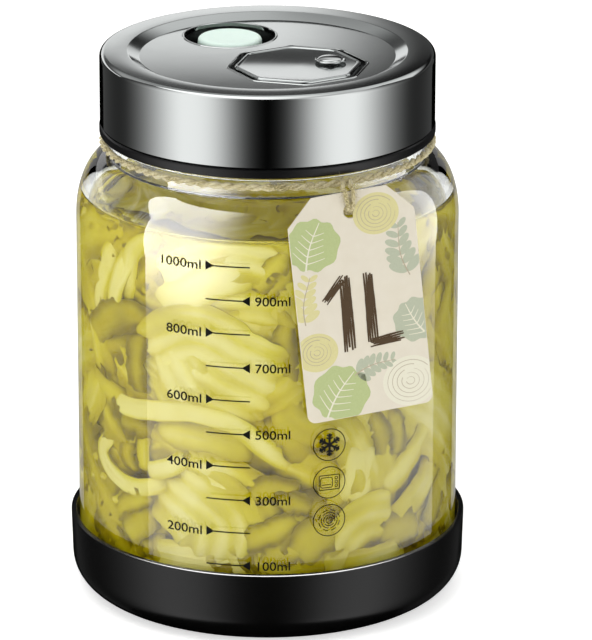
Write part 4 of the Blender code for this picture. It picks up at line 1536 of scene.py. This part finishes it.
def clip(outline: Sequence[Point], edge: Sequence[Point]) -> list[Point]:
    """The part of an outline inside a convex edge; both run anticlockwise."""
    kept = [np.array(p, float) for p in outline]
    for i in range(len(edge)):
        a, b = np.array(edge[i - 1]), np.array(edge[i])
        if np.hypot(*(b - a)) < 1e-9:
            continue
        inside = [float(left_of(p, a, b)) for p in kept]
        found = []
        for k in range(len(kept)):
            p, q, sp, sq = kept[k - 1], kept[k], inside[k - 1], inside[k]
            if (sp >= 0) != (sq >= 0):
                found.append(p + (q - p) * sp / (sp - sq))
            if sq >= 0:
                found.append(q)
        kept = found
        if not kept:
            return []
    return [(float(p[0]), float(p[1])) for p in kept]


@dataclass
class TagArt:
    """The print on the tag, in the card's own millimetres from its middle.

    Generic sprigs, round leaves and cut roots stand round the capacity, which is in brush strokes.
    """

    tag: CardTag
    inks: dict = field(default_factory=dict)

    def ink(self, colour: TagColour, level: int) -> Art:
        """The film of one colour, at a level above the card."""
        if colour not in self.inks:
            self.inks[colour] = Art(0.01, Piece(), self.tag.on_card)
        art = self.inks[colour]
        art.lift = self.tag.thick + 0.004 + 0.014 * level
        return art

    def inside(self, route: Sequence[Point]) -> list[Point]:
        """The first run of a route that lies on the card."""
        edge = self.tag.outline(0.3)
        found = []
        for p in route:
            if all(left_of(p, a, b) > -1e-6 for a, b in zip(edge[-1:] + edge[:-1], edge)):
                found.append(p)
            elif found:
                break
        return found

    def line(self, colour: TagColour, level: int, route: Sequence[Point], width: float) -> None:
        """A line that thins to its end, where it lies on the card."""
        kept = self.inside(route)
        if len(kept) > 2:
            widths = [width * (1 - 0.6 * i / len(kept)) for i in range(len(kept))]
            self.ink(colour, level).stroke(kept, widths)

    def patch(self, outline: Sequence[Point], colour: TagColour) -> bool:
        """A filled outline, cut off at the card's edge; says whether any of it is left."""
        shape = clip(outline, self.tag.outline(0.15))
        if len(shape) > 2:
            self.ink(colour, 0).shape(shape)
        return len(shape) > 2

    def round_leaf(self, at: Point, turn: float, size: float, colour: TagColour) -> None:
        """A broad leaf with a scalloped edge, its midrib and side veins."""
        ahead, side = heading(turn)
        outline = []
        for k in range(48):
            t = math.tau * k / 48
            reach = size * (1 + 0.05 * math.sin(9 * t) - 0.12 * math.cos(2 * t))
            spot = np.array(at) + ahead * reach * math.cos(t) + side * reach * 0.82 * math.sin(t)
            outline.append(tuple(spot))
        if not self.patch(outline, colour):
            return
        base = np.array(at) - ahead * size * 0.9
        rib = []
        for i in range(15):
            rib.append(tuple(base + ahead * size * 1.7 * i / 14 + side * size * 0.08 * math.sin(i / 4)))
        self.line(TagColour.PALE, 1, rib, 0.55)
        for k in range(2, 12, 2):
            for way in (-1, 1):
                start = np.array(rib[k])
                reach = size * (0.62 - 0.03 * k)
                vein = []
                for i in range(9):
                    vein.append(tuple(start + (ahead * 0.55 * i / 8 + side * way * (i / 8) ** 0.85) * reach))
                self.line(TagColour.PALE, 1, vein, 0.32)

    def sprig(self, at: Point, turn: float, size: float, colour: TagColour) -> None:
        """A stem with paired narrow leaves."""
        ahead, side = heading(turn)
        stem = []
        for i in range(13):
            spot = np.array(at) + ahead * size * (i / 12 - 0.5) + side * size * 0.06 * math.sin(i / 3)
            stem.append(tuple(spot))
        self.line(TagColour.TAUPE, 2, stem, 0.35)
        for k in range(1, 12, 2):
            for way in (-1, 1):
                start = np.array(stem[k])
                tip = (ahead * 0.75 + side * way) * size * (0.3 - 0.012 * k)
                across = np.array([-tip[1], tip[0]]) * 0.24
                outline = []
                for t in np.linspace(0, math.tau, 17)[:-1]:
                    outline.append(tuple(start + tip * (0.5 - 0.5 * math.cos(t)) - across * math.sin(t)))
                self.patch(outline, colour)

    def slice(self, at: Point, size: float, colour: TagColour) -> None:
        """A cut root in rings."""
        angles = np.linspace(0, math.tau, 41)[:-1]
        self.patch([(at[0] + size * math.cos(t), at[1] + size * 0.93 * math.sin(t)) for t in angles], colour)
        for k in range(1, 6):
            reach = size * (1.0 - 0.17 * k)
            start = 37 * k
            route = [
                (at[0] + reach * math.cos(math.radians(t)), at[1] + reach * 0.93 * math.sin(math.radians(t)))
                for t in range(start, start + 330, 10)
            ]
            self.line(TagColour.TAUPE, 1, route, 0.22)

    def brush(self, start: Point, end: Point, width: float, seed: int) -> None:
        """A dry brush stroke: bristle lines side by side, ragged at both ends."""
        draw = random.Random(seed)
        a, b = np.array(start), np.array(end)
        ahead = (b - a) / np.hypot(*(b - a))
        side = np.array([-ahead[1], ahead[0]])
        for k in range(5):
            off = (k - 2) * width / 4.6
            first, last = draw.uniform(-0.9, 0.5), draw.uniform(-0.5, 1.1)
            route = []
            for i in range(13):
                t = i / 12
                p = a + ahead * (first + (np.hypot(*(b - a)) + last - first) * t)
                route.append(tuple(p + side * (off + 0.14 * math.sin(4 * t + k))))
            widths = []
            for i in range(13):
                bulge = 1.25 - 0.5 * abs(2 * i / 12 - 1) ** 2
                widths.append(width / 5.2 * (bulge + 0.15 * draw.uniform(-1, 1)))
            self.ink(TagColour.BROWN, 3).stroke(route, widths)

    def build(self) -> None:
        """Lays out the print and makes one piece for each ink."""
        self.round_leaf((-12.5, 20.5), 70, 9.0, TagColour.SAGE)
        self.slice((7.5, 27.0), 7.0, TagColour.STRAW)
        self.sprig((14.5, 14.5), 100, 17.0, TagColour.GREY)
        self.sprig((-16.0, 3.5), 82, 15.0, TagColour.STRAW)
        self.round_leaf((16.5, -8.0), 120, 7.5, TagColour.GREY)
        self.slice((-14.5, -13.0), 6.5, TagColour.STRAW)
        self.sprig((2.5, -20.5), 15, 13.0, TagColour.GREY)
        self.round_leaf((-8.5, -27.0), 55, 9.5, TagColour.SAGE)
        self.slice((13.0, -27.0), 8.5, TagColour.PALE)
        self.brush((-10.2, 2.6), (-4.6, 8.6), 2.3, 1)
        self.brush((-3.9, 8.8), (-4.4, -13.4), 3.3, 2)
        self.brush((3.2, 8.6), (2.9, -12.2), 3.0, 3)
        self.brush((2.4, -12.9), (11.6, -12.4), 2.8, 4)
        for colour, art in self.inks.items():
            name, code = colour.value
            ink = PrintedInk(f"card_ink_{name}", code, 0.8)
            art.piece.build(f"tag_print_{name}", ink, "tag_card", sharp=20)


@dataclass
class NeckTwine:
    """Two-ply jute twine round the neck, with two strands over the tag's top edge into its hole."""

    tag: CardTag
    ring: float = 49.95
    height: float = 142.0
    ply: float = 0.64
    ply_off: float = 0.56
    pitch: float = 8.0
    strand: float = 0.7
    strand_ply: float = 0.37
    strand_off: float = 0.34
    strand_pitch: float = 3.6
    spread: float = 1.25
    knot: float = 2.5  # how far behind the card
    knot_turn: float = 1.35
    knot_thick: float = 0.95
    ring_points: int = 624
    azimuth: float = 27.0
    fibres: int = 520
    seed: int = 5

    def twisted(self, route: np.ndarray, ply: float, off: float, pitch: float, closed: bool) -> list:
        """The two plies of a twine along a route, as (route, tube) pairs."""
        steps = np.linalg.norm(np.diff(route, axis=0, append=route[:1] if closed else route[-1:]), axis=1)
        reach = np.concatenate([[0.0], np.cumsum(steps)[:-1]])
        turns = round(steps.sum() / pitch) if closed else steps.sum() / pitch
        phase = reach / steps.sum() * turns * math.tau
        along = ways(route, closed)
        guide = np.tile([0.0, 0.0, 1.0], (len(route), 1))
        if not closed:
            guide = np.tile(np.array([math.sin(0.4), 0.3, 0.6]), (len(route), 1))
        across = np.cross(along, guide)
        across /= np.linalg.norm(across, axis=1, keepdims=True)
        up = np.cross(across, along)
        found = []
        for k in range(2):
            turn = (phase + k * math.pi)[:, None]
            line = route + off * (across * np.cos(turn) + up * np.sin(turn))
            found.append((line, tube(line, ply, 8, closed)))
        return found

    def strand_route(self, side: int) -> np.ndarray:
        """Route of one strand from the neck twine over the card and into its hole; side is -1 or 1."""
        a = math.radians(self.azimuth)
        out = np.array([math.sin(a), -math.cos(a), 0.0])
        across = np.array([-out[1], out[0], 0.0])
        up = np.array([0.0, 0.0, 1.0])
        ring = out * self.ring + across * side * self.spread + up * self.height
        clear = self.strand + 0.15
        half, thick = self.tag.height / 2, self.tag.thick

        def card(x: float, y: float, h: float) -> np.ndarray:
            return self.tag.on_card(np.array(x), np.array(y), np.array(h))

        route = [ring, ring + out * 1.6 + up * 0.5, card(side * self.spread, half + clear, -1.2)]
        faces = ((1.0, -0.6, clear), (0.85, 1.8, clear), (0.55, 4.3, clear * 0.9), (0.4, 5.5, 0.0))
        for spread, drop, lift in faces:
            route.append(card(side * self.spread * spread, half - drop, thick + lift))
        route.append(card(side * 0.3, half - self.tag.hole_drop + 0.2, -self.knot))
        return curve_through(route, 8)

    def hairs(self, lines: Sequence[np.ndarray], count: int, rng: np.random.Generator) -> Piece:
        """Loose fibres that stand off the twine."""
        piece = Piece()
        for _ in range(count):
            line = lines[rng.integers(len(lines))]
            start = line[rng.integers(len(line) - 1)]
            way = rng.normal(size=3)
            way /= np.linalg.norm(way)
            curl = rng.normal(size=3) * 0.35
            reach = rng.uniform(1.2, 3.0)
            t = np.linspace(0, 1, 5)[:, None]
            route = start + way * (0.6 + reach * t * 0.55) + curl * t**2 * reach
            piece.add(*tube(route, np.linspace(0.045, 0.018, 5), 3, False))
        return piece

    def build(self) -> None:
        """Makes the ring, the strands, the knot behind the card and the loose fibres."""
        angles = np.arange(self.ring_points) * math.tau / self.ring_points
        circle = np.stack([np.cos(angles), np.sin(angles), np.zeros_like(angles)], -1) * self.ring
        circle[:, 2] = self.height
        twine = Piece()
        lines = []
        for line, shape in self.twisted(circle, self.ply, self.ply_off, self.pitch, True):
            twine.add(*shape)
            lines.append(line)
        twine.build("twine_ring", JUTE, "jute_twine", ["neck_twine"], 60)
        loop = Piece()
        for side in (-1, 1):
            route = self.strand_route(side)
            sizes = (self.strand_ply, self.strand_off, self.strand_pitch)
            for line, shape in self.twisted(route, *sizes, False):
                loop.add(*shape)
                lines.append(line)
        rng = np.random.default_rng(self.seed)
        hole = self.tag.height / 2 - self.tag.hole_drop
        centre = self.tag.on_card(np.array(0.0), np.array(hole), np.array(-self.knot - 0.3))
        for _ in range(3):
            axis = rng.normal(size=3)
            axis /= np.linalg.norm(axis)
            side = np.cross(axis, [0.3, 0.2, 0.9])
            side /= np.linalg.norm(side)
            other = np.cross(axis, side)
            t = np.arange(36) * math.tau / 36
            route = centre + self.knot_turn * (np.cos(t)[:, None] * side + np.sin(t)[:, None] * other)
            loop.add(*tube(route, self.knot_thick, 10, True))
        loop.build("twine_loop", JUTE, "jute_twine", ["neck_twine"], 60)
        self.hairs(lines, self.fibres, rng).build("twine_fibres", JUTE, "jute_twine", ["neck_twine"], 80)


@dataclass(frozen=True)
class SideCard:
    """A reflector card beside the jar, by azimuth: where it is dark, where full, and where cut off.

    lean is how many degrees the cut moves out for each metre above 0.2 m, glow the card's strength,
    high how much stronger it is above the brine, and top its upper edge in metres.
    """

    name: str
    dark: float
    full: float
    cut: float
    lean: float
    glow: float
    high: float
    top: float


SIDE_CARDS = (
    SideCard("left", -8.0, -44.0, -69.5, -150.0, 2.0, 7.0, 0.55),
    SideCard("right", 36.0, 75.0, 109.5, 0.0, 1.3, 4.6, 0.6),
)


GLASS_PIECES = ("glass_body", "brine")
RANGE_ENDS = ("From Min", "From Max", "To Min", "To Max")


@dataclass
class Studio:
    """Plain pale floor, soft studio light and the camera at the photograph's view, all in metres."""

    distance: float = 1.5324  # metres from the jar's axis
    height: float = 0.6101
    aim: float = 0.08363
    focal_pixels: float = 5279.0
    frame_long_side: float = 640.0
    frame_short_side: float = 592.0
    axis_pixel: float = 267.5
    floor_reach: float = 6.0
    tent_radius: float = 0.75
    bell_middle: float = 57.0  # degrees
    strip_radius: float = 0.25
    lean_from: float = 0.2  # metres from which a side card's cut leans
    step_up: Point = (0.032, 0.062)  # metres over which a side card grows stronger
    glow: float = 1.32
    back_glow: float = 0.8
    overhead: float = 2.7
    rim_glow: float = 45.0
    edge_glow: float = 0.45
    valve_glow: float = 0.6
    linked: list = field(default_factory=list)
    lamp: Object | None = None

    def camera(self) -> None:
        """Places the camera and makes it the scene's."""
        data = bpy.data.cameras.new("camera")
        data.sensor_width = 36.0
        data.lens = self.focal_pixels * data.sensor_width / self.frame_long_side
        data.shift_x = (self.frame_short_side / 2 - self.axis_pixel) / self.frame_long_side
        data.clip_start = 0.05
        obj = put("camera", data)
        obj.location = (0.0, -self.distance, self.height)
        look = Vector((0.0, 0.0, self.aim)) - obj.location
        obj.rotation_euler = look.to_track_quat("-Z", "Y").to_euler()
        bpy.context.scene.camera = obj

    def staged(self, name: str, points: np.ndarray, faces: list, material: Material):
        """A piece of the set, in metres, which isn't part of the jar."""
        mesh = bpy.data.meshes.new(name)
        mesh.from_pydata(np.asarray(points).tolist(), [], faces)
        mesh.materials.append(material)
        obj = put(name, mesh)
        return obj

    def wall(self, name: str, material, radius: float, low: float, high: float, start: float, end: float):
        """Part of a round wall of light, between two azimuths."""
        count = max(8, round((end - start) / 5))
        a = np.radians(np.linspace(start, end, count + 1))
        ring = np.stack([radius * np.sin(a), -radius * np.cos(a)], -1)
        points = [(x, y, z) for z in (low, high) for x, y in ring]
        faces = [[i, i + 1, i + count + 2, i + count + 1] for i in range(count)]
        obj = self.staged(name, np.array(points), faces, material)
        obj.visible_camera = False
        return obj

    def for_mirrors(self, card: Object) -> None:
        """Lets a card show in mirrors alone."""
        card.visible_camera = False
        card.visible_diffuse = False
        card.visible_transmission = False
        card.visible_shadow = False

    def mirrored(self, name: str, corners: np.ndarray, material: Material):
        """A flat card that shows in mirrors alone."""
        card = self.staged(name, corners, [[0, 1, 2, 3]], material)
        self.for_mirrors(card)
        return card

    def level(self, half: float, front: float, back: float, z: float) -> np.ndarray:
        """Corners of a level card, from front to back in Y."""
        return np.array([(-half, front, z), (half, front, z), (half, back, z), (-half, back, z)])

    def disc_lamp(self, name: str, size: float, energy: float, place: Sequence[float]) -> Object:
        """A round lamp that mirrors don't show."""
        data = bpy.data.lights.new(name, "AREA")
        data.shape = "DISK"
        data.size = size
        data.energy = energy
        obj = put(name, data)
        obj.location = place
        obj.visible_glossy = False
        return obj

    def parts_node(self, tree: Tree) -> Node:
        """X, Y and Z of the point that shines."""
        place = add_node(tree, "TexCoord")
        return add_node(tree, "SeparateXYZ", links={0: place.outputs["Object"]})

    def azimuth_node(self, tree: Tree) -> Socket:
        """Azimuth in degrees of the point that shines."""
        parts = self.parts_node(tree)
        back = add_node(tree, "Math", {"operation": "MULTIPLY", 1: -1.0}, {0: parts.outputs["Y"]})
        sources = {0: parts.outputs["X"], 1: back.outputs["Value"]}
        turn = add_node(tree, "Math", {"operation": "ARCTAN2"}, sources)
        found = add_node(tree, "Math", {"operation": "DEGREES"}, {0: turn.outputs["Value"]})
        return found.outputs["Value"]

    def side_glow(self, tree: Tree, azimuth: Socket) -> Socket:
        """Bell of light round the azimuths plus and minus bell_middle: steep in front, gentle behind."""
        size = add_node(tree, "Math", {"operation": "ABSOLUTE"}, {0: azimuth})
        sides = []
        for way, reach, power in ((-1.0, 32.0, 3.2), (1.0, 26.0, 1.7)):
            value = size.outputs["Value"]
            for step in (
                {"operation": "MULTIPLY_ADD", 1: way / reach, 2: -way * self.bell_middle / reach},
                {"operation": "MAXIMUM", 1: 0.0},
                {"operation": "POWER", 1: power},
                {"operation": "MULTIPLY", 1: -1.0},
                {"operation": "EXPONENT"},
            ):
                value = add_node(tree, "Math", step, {0: value}).outputs["Value"]
            sides.append(value)
        both = add_node(tree, "Math", {"operation": "MULTIPLY"}, dict(enumerate(sides)))
        return both.outputs["Value"]

    def emitter(self, name: str, see_through: bool = False) -> tuple:
        """An emission material, which may let light behind it pass, as (material, tree, emission node)."""
        material = bpy.data.materials.new(name)
        material.use_nodes = True
        tree = material.node_tree
        tree.nodes.clear()
        shine = add_node(tree, "Emission", {"Color": linear("#FFFFFF")})
        clear = add_node(tree, "BsdfTransparent")
        sources = {0: shine.outputs["Emission"], 1: clear.outputs["BSDF"]}
        both = add_node(tree, "AddShader", links=sources)
        through = both.outputs["Shader"] if see_through else shine.outputs["Emission"]
        add_node(tree, "OutputMaterial", links={"Surface": through})
        return material, tree, shine

    def tent(self) -> None:
        """Light tent: soft glows at the front's two sides, and an even wall behind for the cabbage."""
        material, tree, shine = self.emitter("tent_light")
        glow = self.side_glow(tree, self.azimuth_node(tree))
        size = add_node(tree, "Math", {"operation": "ABSOLUTE"}, {0: self.azimuth_node(tree)})
        rise = {"From Min": 110.0, "From Max": 150.0, "To Min": 0.0, "To Max": 0.07}
        faint = add_node(tree, "MapRange", rise, {"Value": size.outputs["Value"]})
        sources = {0: glow, 2: faint.outputs["Result"]}
        strong = add_node(tree, "Math", {"operation": "MULTIPLY_ADD", 1: self.glow}, sources)
        tree.links.new(strong.outputs["Value"], shine.inputs["Strength"])
        front = self.wall("tent", material, self.tent_radius, low=-0.8, high=0.95, start=-150, end=150)
        front.visible_transmission = False
        self.link_light(front, GLASS_PIECES, "EXCLUDE")
        material, tree, shine = self.emitter("tent_back_light")
        shine.inputs["Strength"].default_value = self.back_glow
        back = self.wall("tent_back", material, self.tent_radius, low=-0.1, high=0.8, start=150, end=210)
        back.visible_glossy = False
        back.visible_transmission = False

    def link_light(self, light: Object, names: Sequence[str], state: str) -> None:
        """Has a light reach only the named pieces, or all but them; see Studio.link_all."""
        self.linked.append((light, tuple(names), state))

    def link_all(self) -> None:
        """Carries out the light links once the jar's pieces exist, and opens the lid to the lamp."""
        for light, names, state in self.linked:
            self.tie(light, "receiver_collection", names, state)
        lid = ("lid_steel_shell", "lid_liner_moulded", "valve_silicone_button", "cover_plate_steel")
        self.tie(self.lamp, "blocker_collection", lid, "EXCLUDE")

    def tie(self, light: Object, use: str, names: Sequence[str], state: str) -> None:
        """Sets which pieces a light reaches or which block it; use is that property's name."""
        group = bpy.data.collections.new(f"{light.name}_links")
        for name in names:
            group.objects.link(bpy.data.objects[name])
        setattr(light.light_linking, use, group)
        for item in group.collection_objects:
            item.light_linking.link_state = state

    def strips(self) -> None:
        """Reflector cards at the jar's sides that only the glass mirrors, each cut off sharp at one end."""
        for side in SIDE_CARDS:
            material, tree, shine = self.emitter(f"card_light_{side.name}", True)
            azimuth, up = self.azimuth_node(tree), self.parts_node(tree).outputs["Z"]
            rise = {"operation": "SUBTRACT", "use_clamp": True, 1: self.lean_from}
            above = add_node(tree, "Math", rise, {0: up}).outputs["Value"]
            lean = {"operation": "MULTIPLY_ADD", 1: -side.lean}
            leant = add_node(tree, "Math", lean, {0: above, 2: azimuth}).outputs["Value"]
            test = "LESS_THAN" if side.cut > side.dark else "GREATER_THAN"
            kept = add_node(tree, "Math", {"operation": test, 1: side.cut}, {0: leant})
            strength = kept.outputs["Value"]
            across = (side.dark, side.full, 0.0, side.glow)
            for source, ends in ((azimuth, across), (up, (*self.step_up, 1.0, side.high))):
                step = {"interpolation_type": "SMOOTHSTEP", **dict(zip(RANGE_ENDS, ends))}
                part = add_node(tree, "MapRange", step, {"Value": source}).outputs["Result"]
                both = add_node(tree, "Math", {"operation": "MULTIPLY"}, {0: strength, 1: part})
                strength = both.outputs["Value"]
            tree.links.new(strength, shine.inputs["Strength"])
            ends = sorted((side.dark, side.cut + side.lean * (side.top - self.lean_from)))
            card = self.wall(f"card_{side.name}", material, self.strip_radius, -0.6, side.top, *ends)
            self.for_mirrors(card)
            self.link_light(card, GLASS_PIECES, "INCLUDE")

    def back_cards(self) -> None:
        """White wall behind the jar that only the glass mirrors, at its grazing edges."""
        material, _, shine = self.emitter("back_cards_light", True)
        shine.inputs["Strength"].default_value = self.edge_glow
        wall = self.wall("back_cards", material, radius=0.8, low=-0.6, high=1.0, start=105, end=255)
        self.for_mirrors(wall)
        self.link_light(wall, GLASS_PIECES, "INCLUDE")

    def rim_card(self) -> None:
        """Card overhead that only the rubber sleeve mirrors: it draws the fine line along its rim."""
        material, _, shine = self.emitter("rim_card_light", True)
        shine.inputs["Strength"].default_value = self.rim_glow
        card = self.mirrored("rim_card", self.level(half=0.5, front=-1.2, back=0.2, z=0.6), material)
        self.link_light(card, ("silicone_sleeve",), "INCLUDE")

    def valve_lamp(self) -> None:
        """Small lamp for the pale valve alone, which then looks nearly white."""
        lamp = self.disc_lamp("valve_lamp", size=0.2, energy=self.valve_glow, place=(-0.02, 0.0, 0.7))
        self.link_light(lamp, ("valve_silicone_button",), "INCLUDE")

    def lid_card(self) -> None:
        """Card behind the jar that the lid mirrors: its flat sees the foot, the pan's slope the top."""
        material, tree, shine = self.emitter("lid_card_light")
        parts = self.parts_node(tree)
        bands = []
        for along, up in (
            ((0.0, 0.06, 1.15, 0.08), (0.253, 0.2665, 1.0, 0.08)),
            ((-0.12, 0.1, 0.35, 0.95), (0.3, 0.42, 0.0, 1.0)),
        ):
            found = []
            for source, ends in (("X", along), ("Z", up)):
                step = {"interpolation_type": "SMOOTHSTEP", **dict(zip(RANGE_ENDS, ends))}
                part = add_node(tree, "MapRange", step, {"Value": parts.outputs[source]})
                found.append(part.outputs["Result"])
            band = add_node(tree, "Math", {"operation": "MULTIPLY"}, dict(enumerate(found)))
            bands.append(band.outputs["Value"])
        both = add_node(tree, "Math", {"operation": "ADD"}, dict(enumerate(bands)))
        tree.links.new(both.outputs["Value"], shine.inputs["Strength"])
        y = 0.3
        corners = np.array([(-3.0, y, 0.2), (3.0, y, 0.2), (3.0, y, 1.2), (-3.0, y, 1.2)])
        self.mirrored("lid_card", corners, material)

    def top_card(self) -> None:
        """Card over the jar that only the lid mirrors: it lights the rolled rim and the bevels."""
        material, tree, shine = self.emitter("top_card_light", True)
        fall = dict(zip(RANGE_ENDS, (-0.1, 0.5, 1.8, 0.7)))
        across = add_node(tree, "MapRange", fall, {"Value": self.parts_node(tree).outputs["X"]})
        tree.links.new(across.outputs["Result"], shine.inputs["Strength"])
        card = self.mirrored("top_card", self.level(half=1.5, front=-1.2, back=0.3, z=1.2), material)
        self.link_light(card, ("lid_steel_shell", "cover_plate_steel", "plate_stud_steel"), "INCLUDE")

    def ceiling(self) -> None:
        """Wide soft lamp overhead; the lid lets it through to the cabbage."""
        self.lamp = self.disc_lamp("overhead", size=0.9, energy=self.overhead, place=(-0.55, -0.1, 0.95))
        self.lamp.rotation_euler = (0.0, -0.52, 0.0)

    def floor(self) -> None:
        """Pale floor, bright enough to be white; mirrors look past it to the tent."""
        material = bpy.data.materials.new("floor_white")
        material.use_nodes = True
        shader = material.node_tree.nodes["Principled BSDF"]
        give(
            shader,
            {
                "Base Color": linear("#FAFAF8"),
                "Roughness": 1.0,
                "Specular IOR Level": 0.0,
                "Emission Color": linear("#FFFFFF"),
                "Emission Strength": 0.6,
            },
        )
        reach = self.floor_reach
        floor = self.staged("floor", self.level(reach, -reach, reach, 0.0), [[0, 1, 2, 3]], material)
        floor.visible_glossy = False
        floor.visible_shadow = False

    def world(self) -> None:
        """Even white surroundings for what is seen through the glass; mirrors don't show them."""
        world = bpy.data.worlds.new("studio")
        world.use_nodes = True
        world.node_tree.nodes["Background"].inputs["Color"].default_value = linear("#FFFFFF")
        world.node_tree.nodes["Background"].inputs["Strength"].default_value = 1.0
        bpy.context.scene.world = world
        world.cycles_visibility.glossy = False

    def build(self) -> None:
        """Sets the whole studio up."""
        self.camera()
        self.floor()
        self.tent()
        self.strips()
        self.lid_card()
        self.top_card()
        self.rim_card()
        self.back_cards()
        self.valve_lamp()
        self.ceiling()
        self.world()
        bpy.context.scene.view_settings.view_transform = "Standard"


def main() -> None:
    """Builds the jar's classes in order, and the studio round it."""
    logging.basicConfig(level=logging.INFO, format="%(name)s %(message)s")
    studio = Studio()
    studio.build()
    glass = GlassBody()
    Sleeve().build(glass)
    glass.build()
    Cabbage(glass).build()
    GlassPrint(glass).build()
    Lid().build(glass)
    tag = CardTag()
    tag.build()
    NeckTwine(tag).build()
    studio.link_all()


if __name__ == "__main__":
    main()
